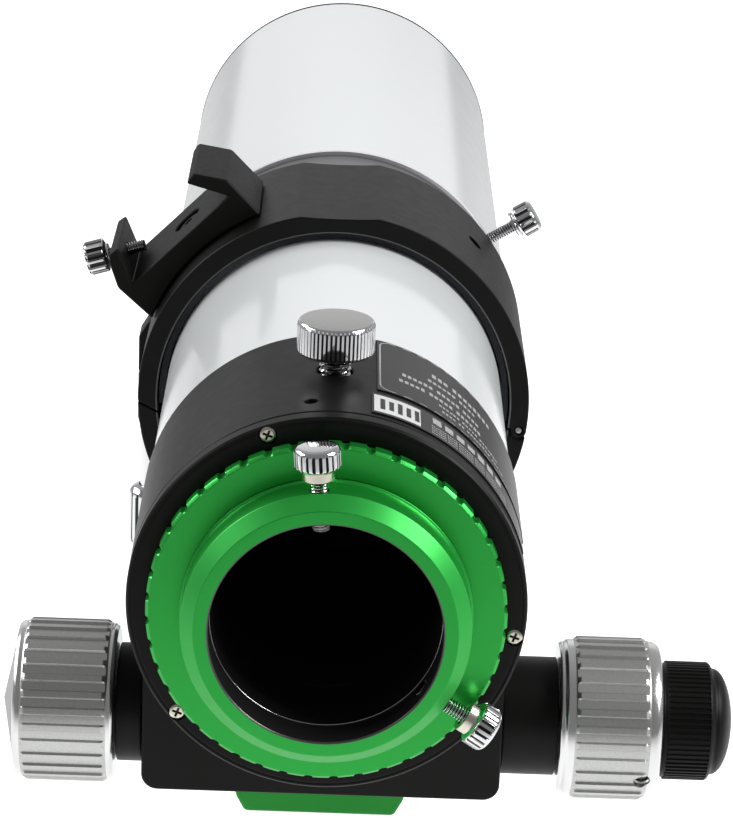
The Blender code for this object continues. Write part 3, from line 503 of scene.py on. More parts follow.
def shield():
    """Dew shield: rear collar painted grey as shade, rounded shoulder, black front rim."""
    start, end = span("dew_shield")
    radius = outer("dew_shield")
    step = start + 17.3
    outline = [(45.6, start), (46.3, start), (46.7, start + 0.4), (46.7, step), (47.1, step),
               (47.8, step + 0.5), (radius, step + 1.3), (radius, end), (47.0, end),
               (47.0, start + 20.0), (45.6, start + 20.0)]
    screw = radial(middle("dew_lock_stud").y, DEW_ANGLE)
    # the rear collar, beside the tube ring, gets the painted shade
    turned("dew_shield", outline, WHITE, along_axis(), edge=0.3,
           cuts=[(lathe(rod(2.1, 44.0, 52.0), SMALL), screw)],
           patches=[(COLLAR_SHADE, lambda r, y, h: h < step + 0.75),
                    (FLAT, lambda r, y, h: r < 47.1 and h > start + 19.0)])
    first, last = span("dew_shield_rim")
    radius = outer("dew_shield_rim")
    outline = [(radius - 2.1, first), (radius - 1.6, first), (radius - 1.6, first + 1.7),
               (radius, first + 1.7), (radius, last - 0.4), (radius - 0.4, last),
               (radius - 2.1, last)]
    turned("dew_shield_rim", outline, BLACK, along_axis(), edge=0.15)
    first, last = span("dew_shield_felt")
    outline = tube(outer("dew_shield_felt"), 43.95, first, last)
    turned("dew_shield_felt", outline, FELT, along_axis(), edge=0.4)


def objective():
    """Cell, doublet, spacer and retaining ring."""
    place = along_axis()
    start, end = span("objective_cell")
    outline = [(39.5, start), (41.6, start), (41.6, start + 12.3), (45.4, start + 12.3),
               (45.4, end - 1.0), (44.4, end), (41.8, end), (41.8, start + 18.0),
               (39.5, start + 18.0)]
    turned("objective_cell", outline, BLACK, place)
    radius = outer("front_lens")
    first, last = span("rear_lens")
    turned("rear_lens", lens(radius, first, 0.5, first + 9.0, -3.3), GLASS, place, MEDIUM, edge=0)
    first, last = span("front_lens")
    turned("front_lens", lens(radius, first, -3.4, last - 2.7, 2.7), GLASS, place, MEDIUM, edge=0)
    first, last = span("lens_spacer")
    turned("lens_spacer", tube(41.4, 40.2, first, last), FLAT, place, MEDIUM, edge=0.1)
    first, last = span("lens_retaining_ring")
    outline = [(40.6, first), (41.5, first), (41.5, last), (39.8, last), (39.8, first + 2.5)]
    notches = []
    for angle in (0, 180):
        notch = prism([(39.0, -1.2), (42.5, -1.2), (42.5, 1.2), (39.0, 1.2)], 2.0)
        notches.append((notch, place @ turned_by(angle, "Z") @ moved(0, 0, last - 1.2)))
    turned("lens_retaining_ring", outline, FLAT, place, MEDIUM, edge=0.15, cuts=notches)
    for node, stop in (("baffle_rear", 33.5), ("baffle_front", 37.0)):
        first, last = span(node)
        rim = outer(node)
        outline = [(stop, last - 0.8), (rim - 1.0, last - 2.3), (rim - 1.0, first), (rim, first),
                   (rim, last), (stop + 1.0, last)]
        turned(node, outline, FLAT, place, MEDIUM, edge=0.1)


def lens(radius, rear, rear_sag, front, front_sag, steps=10):
    """Outline of a lens, from its rear pole to its front pole."""
    shares = [step / steps for step in range(steps + 1)]
    made = [(radius * share, rear + rear_sag * (1 - share ** 2)) for share in shares]
    made += [(radius * share, front + front_sag * (1 - share ** 2)) for share in reversed(shares)]
    return made


# ---------------- tube ring and shoe
BAR_BOLTS = ("dovetail_bolt_rear", "dovetail_bolt_front")
RING_RADIUS = 51.0
RING_INNER = 45.9
RING_FLAT = 50.0
HINGE_ANGLE = -7.0
SPLIT_OUTER = 182.0
SPLIT_INNER = 185.6
SPLIT_LIFT = 0.42
BOSS_OUTER = -52.3
BOSS_INNER = -47.0
BOSS_HALF_WIDTH = 4.6
HINGE_SPLIT = 0.2
KNUCKLE_HALF = 8.9
RING_Y = middle("ring_lower").y
RING_HALF = (high("ring_lower").y - low("ring_lower").y) / 2
FOOT_BOTTOM = low("ring_lower").z - AXIS_Z
CLAMP_X = middle("ring_clamp_stud").x


def split_height(x, lift):
    start = polar(RING_RADIUS, SPLIT_OUTER - lift)
    end = polar(RING_INNER, SPLIT_INNER - lift)
    return start[1] + (end[1] - start[1]) / (end[0] - start[0]) * (x - start[0])


def hinge_place():
    return moved(*middle("ring_hinge_pin")) @ turned_by(-90.0, "X")


def hinge_tools(centre):
    """Seats to cut and knuckles to add, for the half with the middle knuckle or the other."""
    past = RING_HALF + 1.0
    seat, own = 2.75, 1.55
    end = KNUCKLE_HALF + (0.0 if centre else 0.3)
    if centre:
        steps = [(seat, -past, -end), (own, -end, end), (seat, end, past)]
        lengths = [(-KNUCKLE_HALF + 0.15, KNUCKLE_HALF - 0.15)]
    else:
        steps = [(own, -past, -end), (seat, -end, end), (own, end, past)]
        inner, far = KNUCKLE_HALF + 0.45, RING_HALF - 0.15
        lengths = [(-far, -inner), (inner, far)]
    seats = [(0.0, steps[0][1])]
    for radius, start, stop in steps:
        seats += [(radius, start), (radius, stop)]
    seats.append((0.0, steps[-1][2]))
    knuckles = [lathe(soften(tube(2.0, 1.25, start, stop), 0.2), SMALL)
                for start, stop in lengths]
    return lathe(seats, SMALL), knuckles


def ring_half(node, outline, boss, centre, cuts):
    """One half of the tube ring, with its clamp boss, hinge knuckles and holes."""
    front = RING_Y + RING_HALF - REAR_Y
    half = thing(node + "_fine", prism(outline, 2 * RING_HALF, 0.45, 3), BLACK, section(front))
    boss_front = section(RING_Y + BOSS_HALF_WIDTH - REAR_Y)
    carve(half, "UNION", (prism(boss, 2 * BOSS_HALF_WIDTH, 0.5, 3), boss_front))
    repaint(half, EDGE, lambda r, y, h: h > 2 * RING_HALF - 0.4 and r < 46.3
            and h < 2 * RING_HALF - 0.02)
    seats, knuckles = hinge_tools(centre)
    carve(half, "DIFFERENCE", (seats, hinge_place()), *cuts)
    carve(half, "UNION", *[(knuckle, hinge_place()) for knuckle in knuckles])
    settle(half, node)


def clamp_place():
    return pointing((CLAMP_X, RING_Y, AXIS_Z), (0, 0, 1))


def lower_half():
    foot_turn = degrees(asin(17.5 / RING_RADIUS))
    foot = [(-17.5, -58.0), (-20.5, -63.5), (-20.5, FOOT_BOTTOM),
            (20.5, FOOT_BOTTOM), (20.5, -63.5), (17.5, -58.0)]
    hinge_end = 360.0 + HINGE_ANGLE - HINGE_SPLIT
    outline = arc(RING_RADIUS, SPLIT_OUTER, 270.0 - foot_turn, 36) + foot
    outline += arc(RING_RADIUS, 270.0 + foot_turn, hinge_end, 36)
    outline += arc(RING_INNER, hinge_end, SPLIT_INNER, 96)
    bottom = low("ring_lower").z
    boss_low = -17.8
    boss = [(BOSS_OUTER + 1.0, boss_low), (BOSS_INNER, boss_low),
            (BOSS_INNER, split_height(BOSS_INNER, 0.0)),
            (BOSS_OUTER, split_height(BOSS_OUTER, 0.0)), (BOSS_OUTER, boss_low + 4.0)]
    neck = solid((2.9, -30.0), (2.9, boss_low - 0.1), (2.2, boss_low - 0.1), (2.2, 0.5))
    cuts = [(lathe(neck, SMALL), clamp_place())]
    for bolt in BAR_BOLTS:
        place = pointing((0.0, middle(bolt).y, bottom), (0, 0, 1))
        cuts.append((lathe(rod(3.3, -1.0, high(bolt).z - bottom + 1.0), SMALL), place))
    ring_half("ring_lower", outline, boss, True, cuts)


def upper_half():
    flat_turn = degrees(acos(RING_FLAT / RING_RADIUS))
    outline = arc(RING_RADIUS, HINGE_ANGLE + HINGE_SPLIT, 90.0 - flat_turn, 48)
    outline += [(6.0, RING_FLAT - 0.22), (0.0, RING_FLAT - 0.32), (-6.0, RING_FLAT - 0.22)]
    outline += arc(RING_RADIUS, 90.0 + flat_turn, SPLIT_OUTER - SPLIT_LIFT, 42)
    outline += arc(RING_INNER, SPLIT_INNER - SPLIT_LIFT, HINGE_ANGLE + HINGE_SPLIT, 96)
    boss = [(BOSS_OUTER, split_height(BOSS_OUTER, SPLIT_LIFT)),
            (BOSS_INNER, split_height(BOSS_INNER, SPLIT_LIFT)),
            (BOSS_INNER, 13.0), (BOSS_OUTER + 2.4, 13.0), (BOSS_OUTER, 9.0)]
    tap = solid((2.0, 44.0), (2.0, 49.3), (2.4, 49.9), (2.4, 52.0))
    cuts = [(lathe(rod(2.5, -6.0, 6.5), SMALL), clamp_place()),
            (lathe(tap, SMALL), radial(RING_Y + 3.0, 45.0)),
            (lathe(rod(2.3, 44.0, 53.0), SMALL), radial(RING_Y, 90.0 + SHOE_ANGLE))]
    ring_half("ring_upper", outline, boss, False, cuts)


def ring_trim():
    """Felt bands and hinge pin."""
    outside, inside = RING_INNER - 0.3, 44.0
    for node, start, end in (("ring_felt_lower", 187.5, 351.0), ("ring_felt_upper", -5.5, 183.5)):
        front = high(node).y - REAR_Y
        outline = arc(outside, start, end, 80) + arc(inside, end, start, 80)
        length = high(node).y - low(node).y
        band = thing(node + "_fine", prism(outline, length, 0.3), FELT, section(front))
        settle(band, node)
    half = (high("ring_hinge_pin").y - low("ring_hinge_pin").y) / 2
    outline = soften(solid((0.9, -half), (0.9, half)), 0.3)
    turned("ring_hinge_pin", outline, STEEL, hinge_place(), 24, edge=0)


SHOE_ANGLE = 45.0
SHOE_FLOOR = 57.0
JAW_TIP = (-12.9, 59.6)
JAW_SLOPE = 151.5


def jaw_place():
    (x, z), = tilted([JAW_TIP], SHOE_ANGLE)
    turn = radians(JAW_SLOPE + SHOE_ANGLE)
    return pointing((x, RING_Y, AXIS_Z + z), (cos(turn), 0.0, sin(turn)))


def shoe():
    """Dovetail shoe with softened edges, a counterbored bolt hole and a tapped jaw."""
    saddle = RING_RADIUS + 0.3
    right_edge = 90.0 - degrees(asin(18.7 / saddle))
    left_edge = 90.0 + degrees(asin(21.7 / saddle))
    outline = arc(saddle, left_edge, right_edge, 40)
    outline += [(18.7, 60.3), (13.4, 67.6), (10.3, 66.8), (15.9, SHOE_FLOOR), (-18.6, SHOE_FLOOR),
                (-14.8, 66.4), (-17.6, 66.8), (-19.2, 65.2), (-22.4, 58.6)]
    length = high("finder_shoe").y - low("finder_shoe").y
    front = section(high("finder_shoe").y - REAR_Y)
    mesh = prism(tilted(outline, SHOE_ANGLE), length, 0.7, 3)
    made = thing("finder_shoe_fine", mesh, CAST, front)
    bolt = radial(RING_Y, 90.0 + SHOE_ANGLE)
    hole = solid((2.3, 48.0), (2.3, 53.6), (4.25, 53.6), (4.25, 56.7), (4.6, 57.1), (4.6, 60.0))
    carve(made, "DIFFERENCE", (lathe(hole, SMALL), bolt),
          (lathe(rod(2.0, 2.0, 12.0), SMALL), jaw_place()))
    settle(made, "finder_shoe")
    outline = solid((2.0, 46.6), (2.0, 53.9), (3.8, 53.9), (3.8, 55.6), (3.1, 56.4))
    turned("finder_shoe_bolt", outline, CAST, bolt, SMALL, edge=0.2,
           cuts=[(lathe(rod(1.4, 54.9, 58.0), 6), bolt)])


# ---------------- dovetail bar
SLOT_LENGTH = 40.0
SLOT_HALF_WIDTH = 3.3
SLOT_OFFSET = 60.0


def bar():
    node = "dovetail_bar"
    top = high(node).z
    half = [(18.6, 0.0), (21.0, 4.5), (21.0, 7.4), (18.2, 14.2), (18.2, top)]
    outline = half + [(-a, b) for a, b in reversed(half)]
    length = high(node).y - low(node).y
    place = moved(0.0, high(node).y, 0.0) @ turned_by(90.0, "X")
    made = thing(node + "_fine", prism(outline, length, 1.1, 4), BAR_GREEN, place)
    hole = solid((6.1, -1.0), (6.1, 0.0), (5.6, 0.5), (5.6, 6.8), (3.3, 6.8), (3.3, top + 1.0))
    cuts = []
    for bolt in BAR_BOLTS:
        cuts.append((lathe(hole, SMALL), pointing((0.0, middle(bolt).y, 0.0), (0, 0, 1))))
    run = SLOT_LENGTH / 2 - SLOT_HALF_WIDTH
    slot = [(a, b + run) for a, b in arc(SLOT_HALF_WIDTH, 0, 180, 24)]
    slot += [(a, b - run) for a, b in arc(SLOT_HALF_WIDTH, 180, 360, 24)]
    for side in (-SLOT_OFFSET, SLOT_OFFSET):
        cuts.append((prism(slot, top + 2.0), moved(0.0, side, -1.0)))
    carve(made, "DIFFERENCE", *cuts)
    settle(made, node)
    for bolt in BAR_BOLTS:
        place = pointing((0.0, middle(bolt).y, 0.0), (0, 0, 1))
        end = high(bolt).z
        outline = solid((4.6, 0.6), (5.0, 1.0), (5.0, 6.5), (3.0, 6.5), (3.0, end))
        turned(bolt, outline, STEEL, place, SMALL, edge=0.2,
               cuts=[(lathe(rod(2.6, 0.0, 3.6), 6), place)])


# ---------------- focuser
PLATE_SCREWS = (109.5, -8.0, -140.5)
DRAW_RADIUS = outer("drawtube")
HOUSING_RADIUS = outer("focuser_rear_plate")
BLOCK_HALF_WIDTH = 41.3
BLOCK_REAR, BLOCK_FRONT = 14.5, 52.0
PLATE_SCREW_RADIUS = 42.2
BLOCK_BOTTOM = low("focuser_housing").z - AXIS_Z
SEAM_NOTCHES = (71.6, 60.8)


def screw_place_on_plate(angle):
    x, z = polar(PLATE_SCREW_RADIUS, angle)
    return pointing((x, REAR_Y, AXIS_Z + z), (0, 1, 0))


def rack_channel():
    return prism([(-4.5, -35.3), (4.5, -35.3), (4.5, -29.0), (-4.5, -29.0)], 80.0), section(75.0)


def block_outline():
    corner = 3.8
    left = [(corner - BLOCK_HALF_WIDTH + a, BLOCK_BOTTOM + corner + b)
            for a, b in arc(corner, 180, 270, 10)]
    right = [(-a, b) for a, b in reversed(left)]
    return [(-BLOCK_HALF_WIDTH, -12.0)] + left + right + [(BLOCK_HALF_WIDTH, -12.0)]


def housing():
    """Round housing with its pinion block, seam notches and holes."""
    node = "focuser_housing"
    start, end = span(node)
    radius = HOUSING_RADIUS
    front = end - 12.0
    outline = solid((radius - 0.25, start), (radius, start + 0.25), (radius, front - 0.5),
                    (radius - 0.5, front), (41.6, front), (41.6, end))
    made = thing(node + "_fine", lathe(soften(outline, 0.2), FINE), BLACK, along_axis())
    block = prism(block_outline(), BLOCK_FRONT - BLOCK_REAR, 0.6, 3)
    carve(made, "UNION", (block, section(BLOCK_FRONT)))
    bore = solid((31.7, -1.0), (31.7, 5.3), (33.1, 5.3), (33.1, 11.5), (40.2, 11.5), (40.2, 49.5),
                 (33.1, 49.5), (33.1, 55.3), (31.7, 55.3), (31.7, 80.0))
    axle = solid((5.5, -45.0), (5.5, -35.9), (2.95, -35.9), (2.95, 35.9), (5.5, 35.9), (5.5, 45.0))
    pocket = prism([(-5.0, -47.0), (5.0, -47.0), (5.0, -36.0), (-5.0, -36.0)], 15.0)
    cuts = [(lathe(bore, FINE), along_axis()), rack_channel(),
            (pocket, section(AXLE.y - REAR_Y + 7.5)), (lathe(axle, SMALL), along_axle())]
    lock = solid((4.1, 38.0), (4.1, 43.9), (4.5, 44.2), (4.5, 46.0))
    cuts.append((lathe(lock, SMALL), radial(middle("focus_lock_stud").y, 90.0)))
    for angle in PLATE_SCREWS:
        cuts.append((lathe(rod(1.5, 3.0, 10.0), 24), screw_place_on_plate(angle)))
    grub = solid((1.5, 41.0), (1.5, 44.1), (1.75, 44.5), (1.75, 46.0))
    cuts.append((lathe(grub, 32), radial(REAR_Y + 11.0, 96.5)))
    for angle in SEAM_NOTCHES:
        notch = prism([(-1.3, -0.7), (1.3, -0.7), (1.3, 0.7), (-1.3, 0.7)], 2.4)
        place = radial(REAR_Y + front, angle) @ moved(0, 0, radius - 1.0)
        cuts.append((notch, place @ turned_by(90.0, "Z")))
    carve(made, "DIFFERENCE", *cuts)
    # painted highlight on the rear rim, kept off its upper part
    repaint(made, EDGE, lambda r, y, h: h < start + 0.24 and radius - 0.3 < r
            and y > -12.0)
    settle(made, node)


def rear_plate():
    node = "focuser_rear_plate"
    radius = HOUSING_RADIUS
    thick = span(node)[1]
    outline = [(32.6, 0.0), (radius - 1.5, 0.0), (radius - 1.2, 0.12), (radius - 0.9, 0.0),
               (radius - 0.55, 0.0), (radius, 0.55), (radius, thick - 0.25),
               (radius - 0.25, thick), (32.6, thick)]
    seat = solid((2.25, -1.0), (2.05, 0.15), (2.05, 1.7), (1.5, 1.7), (1.5, 5.0))
    cuts = [rack_channel()]
    cuts += [(lathe(seat, SMALL), screw_place_on_plate(angle)) for angle in PLATE_SCREWS]
    turned(node, outline, BLACK, along_axis(), edge=0.12, cuts=cuts)
    screw = solid((1.3, 0.15), (1.9, 0.45), (1.9, 1.3), (1.15, 1.5), (1.15, 9.5))
    for index, angle in enumerate(PLATE_SCREWS):
        place = screw_place_on_plate(angle)
        cross = [(prism([(-1.15, -0.28), (1.15, -0.28), (1.15, 0.28), (-1.15, 0.28)], 1.3),
                  place @ turned_by(turn, "Z") @ moved(0, 0, -0.2)) for turn in (20, 110)]
        # painted shade in the cross recess of each head
        turned(f"plate_screw_{index + 1}", screw, NICKEL, place, SMALL, edge=0.12, cuts=cross,
               patches=[(GROOVE_SHADE, lambda r, y, h: 0.2 < h < 1.4 and r < 1.3)])


def wrapped(name, finish, marks, radius, thick, node, stands_for=False):
    """Thin marks wrapped round the housing. Each is (points as (angle, station))."""
    points, faces = [], []
    for mark in marks:
        count = len(mark)
        start = len(points)
        for size in (radius, radius + thick):
            for angle, station in mark:
                x, z = polar(size, angle)
                points.append(Vector((x, REAR_Y + station, AXIS_Z + z)) * MM)
        half = count // 2
        for side in (0, count):
            for index in range(half - 1):
                far = count - 1 - index
                faces.append([start + side + index, start + side + index + 1,
                              start + side + far - 1, start + side + far])
        for index in range(count):
            after = (index + 1) % count
            faces.append([start + index, start + after, start + count + after,
                          start + count + index])
    made = thing(name, from_points(points, faces), finish, Matrix())
    settle(made, node, stands_for)


def strip(left, right, rear, front, steps=2):
    """Rectangle in (angle, station), as a near edge and a far edge run the other way."""
    angles = [left + (right - left) * step / steps for step in range(steps + 1)]
    return [(angle, rear) for angle in angles] + [(angle, front) for angle in reversed(angles)]


def frame_line(left, right, rear, front, width, corner):
    """Closed border line with rounded corners, cut into short strips."""
    per_degree = radians(1.0) * HOUSING_RADIUS
    wide, tall = (left - right) * per_degree, front - rear

    def loop(inset):
        made = []
        near, far_x, far_y = corner, wide - corner, tall - corner
        for x, y, start in ((far_x, far_y, 0), (near, far_y, 90), (near, near, 180),
                            (far_x, near, 270)):
            made += [(x + a, y + b) for a, b in arc(corner - inset, start, start + 90, 6)]
        return made

    def fill(first, second):
        """Break the long runs so that they follow the curved surface."""
        return [tuple(a + (b - a) * step / 12 for a, b in zip(first, second))
                for step in range(12)]

    outside, inside = loop(0.0), loop(width)
    marks = []
    for index in range(len(outside)):
        after = (index + 1) % len(outside)
        outer_run = fill(outside[index], outside[after]) + [outside[after]]
        inner_run = fill(inside[index], inside[after]) + [inside[after]]
        mark = outer_run + list(reversed(inner_run))
        marks.append([(left - x / per_degree, rear + y) for x, y in mark])
    return marks


BLOCK_RISES = (0.5, 0.36, 0.5, 0.42, 0.3)


def lettering(station, tall, angle, words, wide):
    """Blank blocks in place of print: `words` counts the blocks of every word."""
    marks = []
    for count in words:
        for index in range(count):
            rise = tall * BLOCK_RISES[index * 3 % len(BLOCK_RISES)]
            marks.append(strip(angle, angle - wide, station - tall / 2, station + rise, 1))
            angle -= wide * 1.45
        angle -= wide * 0.9
    return marks


def labels():
    """Two blank plates, with a border, a tile and rows of blank blocks in place of print."""
    top = {}
    for node, left, right in (("data_plate", 77.6, 10.0), ("notice_plate", 79.2, 15.0)):
        first, last = span(node)
        base = HOUSING_RADIUS + 0.05
        marks = [strip(left, right, first, last, 48)]
        wrapped(node + "_fine", LABEL, marks, base, 0.25, node, True)
        top[node] = (first, last, base + 0.25)
    first, last, radius = top["data_plate"]
    border = frame_line(77.0, 10.6, first + 0.5, last - 0.5, 0.32, 3.0)
    wrapped("data_plate_border", INK, border, radius - 0.02, 0.05, "data_plate")
    rows = ((0.71, 2.4, 60.0, (3, 8), 1.45), (0.58, 1.6, 61.5, (6, 4), 1.2),
            (0.44, 1.9, 70.0, (6, 5, 4), 1.2), (0.31, 1.9, 71.0, (5, 5, 6), 1.2),
            (0.20, 1.1, 58.0, (6, 5, 7), 0.9), (0.11, 1.1, 57.0, (4, 2, 8, 5), 0.9))
    marks = []
    for height, tall, angle, words, wide in rows:
        marks += lettering(first + height * (last - first), tall, angle, words, wide)
    wrapped("data_plate_bars", INK, marks, radius - 0.02, 0.04, "data_plate")
    first, last, radius = top["notice_plate"]
    tile = [strip(78.6, 64.6, first + 1.0, last - 1.0, 10)]
    wrapped("notice_plate_tile", TILE, tile, radius - 0.02, 0.05, "notice_plate")
    marks = [strip(76.8 - 2.6 * step, 75.4 - 2.6 * step, first + 3.0 + 0.5 * (step % 2),
                   last - 3.0 - 0.5 * (step % 2), 2) for step in range(5)]
    wrapped("notice_plate_ticks", LABEL, marks, radius + 0.02, 0.04, "notice_plate")
    marks = lettering(last - 3.1, 3.4, 60.5, (7,), 2.9)
    for row in range(4):
        marks += lettering(first + 1.6 + 1.35 * row, 0.55, 61.0, (7, 5, 8, 6, 9, 5), 0.5)
    wrapped("notice_plate_bars", INK, marks, radius - 0.02, 0.04, "notice_plate")


def axle_trim():
    """Hubs and bearings."""
    place = along_axle()
    left, right = reach("left_hub"), reach("right_hub")
    turned("left_hub", tube(13.8, 3.2, *left), BLACK, place, MEDIUM, edge=0.6)
    turned("right_hub", tube(13.8, 3.2, *right), BLACK, place, MEDIUM, edge=0.35)
    for node in ("left_bearing", "right_bearing"):
        turned(node, tube(5.2, 2.8, *reach(node)), BRASS, place, SMALL, edge=0.3)


def draw_tube():
    """Drawtube with fine light-stopping grooves inside."""
    node = "drawtube"
    start, end = span(node)
    grooves = []
    pitch = 1.6
    for step in range(int((end - 18.0) / pitch)):
        at = end - step * pitch
        grooves += [(28.6, at), (29.1, at - pitch / 2)]
    outline = [(28.6, start), (DRAW_RADIUS, start), (DRAW_RADIUS, end)] + grooves + [(28.6, 18.0)]
    turned(node, outline, BLACK, along_axis(), edge=0,
           patches=[(FLAT, lambda r, y, h: r < 29.5)])


# ---------------- knobs
KNOB_RADIUS, KNOB_RIM = 18.95, 18.2
SET_SCREW_TURN = 205.5        # round the axle, from forward towards up


def coarse_knob(node, outline, polished, cuts=()):
    """Silver knob with straight ribs. Faces outside the ribbed stretch are polished."""
    facets, ceiling = grip(30, 12, 5, KNOB_RADIUS, 0.55, *reach(node))
    turned(node, outline, SILVER, along_axle(), facets, ceiling, 0.3, cuts,
           [(POLISHED, lambda r, y, h: not polished[0] <= h <= polished[1])])


def knobs():
    place = along_axle()
    start, end = reach("left_knob")
    radius, rim = KNOB_RADIUS, KNOB_RIM
    rib_low, rib_high = start + 1.9, end - 1.7
    outline = [(16.8, start + 0.3), (17.6, start), (rim, start + 0.9), (rim, rib_low),
               (radius, rib_low + 0.9), (radius, rib_high - 0.9), (rim, rib_high),
               (rim, end - 0.7), (17.5, end), (2.8, end), (2.8, end - 18.3), (0.0, end - 18.3),
               (0.0, start + 3.3), (16.8, start + 3.3)]
    coarse_knob("left_knob", outline, (rib_low - 0.2, rib_high + 0.2))
    low_x, high_x = reach("left_knob_cap")
    cone = [(0.0, high_x), (0.0, low_x), (0.6, low_x + 0.1), (16.5, high_x - 3.0),
            (16.5, high_x)]
    turned("left_knob_cap", cone, TURNED, place, MEDIUM, edge=0.15)
    start, end = reach("right_knob")
    rib_low, rib_high = start + 3.5, end - 3.2
    outline = [(2.8, start), (17.2, start), (17.6, start + 0.3), (17.6, start + 1.1),
               (rim, start + 1.7), (rim, rib_low), (radius, rib_low + 0.9),
               (radius, rib_high - 0.9), (rim + 0.1, rib_high), (rim + 0.1, end - 2.6),
               (18.0, end - 1.3), (17.4, end - 0.4), (16.4, end), (1.9, end),
               (1.9, start + 6.4), (2.8, start + 6.4)]
    turn = radians(SET_SCREW_TURN)
    hole_place = pointing((74.0, AXLE.y, AXLE.z), (0.0, cos(turn), sin(turn)))
    hole = solid((1.6, 4.0), (1.6, 17.4), (1.95, 17.7), (1.95, 21.0))
    coarse_knob("right_knob", outline, (rib_low - 0.2, rib_high + 0.2),
                [(lathe(hole, SMALL), hole_place)])
    turned("right_knob_set_screw", rod(1.3, 4.4, 17.0), STEEL, hole_place, 32, edge=0.2,
           cuts=[(lathe(rod(0.75, 15.0, 18.0), 6), hole_place)])


def fine_knob():
    node = "fine_knob"
    start, end = reach(node)
    radius = 13.85
    lip = end - 5.2
    outline = [(1.9, start), (13.0, start), (13.3, start + 0.4), (13.3, start + 1.0),
               (radius, start + 1.2), (radius, lip - 0.8), (13.4, lip - 0.2), (12.9, lip),
               (12.6, lip + 0.3)]
    rise = end - lip - 0.6
    dome = [(12.4 * cos(turn), lip + 0.6 + rise * sin(turn))
            for turn in (radians(9 * step) for step in range(11))]
    dome[-1] = (0.0, end)
    outline += dome + [(0.0, start + 9.5), (1.9, start + 9.5)]
    facets, ceiling = grip(64, 6, 3, radius, 0.35, start + 1.0, lip - 0.9)
    turned(node, outline, BLACK, along_axle(), facets, ceiling, edge=0.15)


# ---------------- green rotator and adapter
def rotator():
    node = "rotator_ring"
    start, end = span(node)
    radius = outer(node)
    notches, steps = 44, 16
    width, depth = 1.0, 0.8

    def ceiling(step, height):
        away = abs(step % steps - steps / 2) * 2 * pi * radius / (notches * steps)
        if away >= width:
            return radius
        return radius - depth * sqrt(1 - (away / width) ** 2)

    outline = [(31.3, end), (31.3, start), (radius - 0.75, start), (radius, start + 0.75),
               (radius, end - 0.8), (radius - 0.8, end)]
    turned(node, outline, GREEN, along_axis(), notches * steps, ceiling, edge=0.12)


def adapter():
    node = "eyepiece_adapter"
    start, end = span(node)
    collar, bore, nose = outer(node), 25.5, 28.3
    base = -5.14
    groove = bore + 0.7
    outline = [(bore, end), (bore, start + 9.3), (groove, start + 8.9), (groove, start + 7.4),
               (bore, start + 7.0), (bore, start + 0.3), (bore + 0.3, start),
               (collar - 3.0, start), (collar, start + 3.0), (collar, base - 0.55),
               (collar + 0.55, base - 0.2), (collar + 0.55, base), (nose, base), (nose, end)]
    tap = solid((2.15, 23.0), (2.15, 31.6), (2.3, 31.8), (2.3, 34.0))
    cuts = [(lathe(tap, 32), radial(middle(name + "_stud").y, angle))
            for name, (angle, out) in ADAPTER_SCREWS.items()]
    patches = [
        (FLAT, lambda r, y, h: h > -4.9 or r < bore + 0.85 and h > start + 0.45),
        (CHAMFER, lambda r, y, h: start + 0.1 < h < start + 2.95 and r > collar - 2.95),
        (POLISHED, lambda r, y, h: start + 9.1 < h < start + 9.5 and r < bore + 0.2),
        (EDGE, lambda r, y, h: h < start + 0.42 and r < bore + 0.4
         or h > end - 0.5 and r < bore + 0.3)]
    turned(node, outline, GREEN, along_axis(), edge=0.12, cuts=cuts, patches=patches)


# ---------------- thumbscrews
DEW_ANGLE = 32.0
# angle round the tube, and how far the screw stands out beyond its seat
ADAPTER_SCREWS = {"adapter_screw_top": (94.5, 0.0), "adapter_screw_side": (-33.0, 2.4)}


def stud(name, radius, pitch, start, end, place, smooth=None, patches=()):
    """A threaded stud, with a smooth neck from the height `smooth` on."""
    outline, ceiling = screw_thread(radius, pitch, start, smooth or end)
    if smooth is None:
        # painted shade in the thread roots of a plain stud
        dark = (GROOVE_SHADE, lambda r, y, h: r < radius - pitch * 0.36)
        turned(name, outline, CHROME, place, 24, ceiling, 0, patches=[dark, *patches])
        return
    neck = radius + 0.7

    def with_neck(step, height):
        return ceiling(step, height) if height < smooth else neck
    outline = outline[:-2] + [(neck, smooth + 0.05), (neck, end), (0.0, end)]
    turned(name, outline, CHROME, place, 24, with_neck, 0)


def knob(name, outline, bore, depth, flutes, place, grip_low, grip_high, edge=0.25,
         patches=()):
    """A fluted chrome knob: flutes is (count, depth, share of the pitch that is cut)."""
    count, cut_depth, share = flutes
    steps = 16
    radius = max(point[0] for point in outline)
    bottom = outline[0][1]
    closed = [(bore, bottom)] + outline[1:] + [(0.0, bottom + depth), (bore, bottom + depth)]

    def ceiling(step, height):
        if not grip_low <= height <= grip_high:
            return radius
        away = abs(step % steps - steps / 2) / (steps / 2)
        if away >= share:
            return radius
        return radius - cut_depth * sqrt(1 - (away / share) ** 2)

    # the flute hollows take the painted groove shade
    def fluted(r, y, h):
        deep, shallow = radius - cut_depth * 1.2, radius - cut_depth * 0.6
        return grip_low < h < grip_high - 0.3 and deep < r < shallow
    turned(name, closed, CHROME, place, count * steps, ceiling, edge,
           patches=[(GROOVE_SHADE, fluted), *patches])


def fluted_head(bottom, neck, radius, start, top, crown):
    """Outline of a head: a neck collar, a chamfer, a fluted drum and a rounded crown."""
    outline = [(0.0, bottom), (neck, bottom), (neck, start - 0.5), (neck + 0.5, start - 0.3),
               (radius - 0.4, start), (radius, start + 0.5), (radius, top - crown)]
    outline += [(radius - crown * (1 - cos(turn)), top - crown + crown * sin(turn))
                for turn in (radians(15 * step) for step in range(1, 6))]
    return outline + [(radius - crown - 0.3, top), (0.0, top + 0.15)]


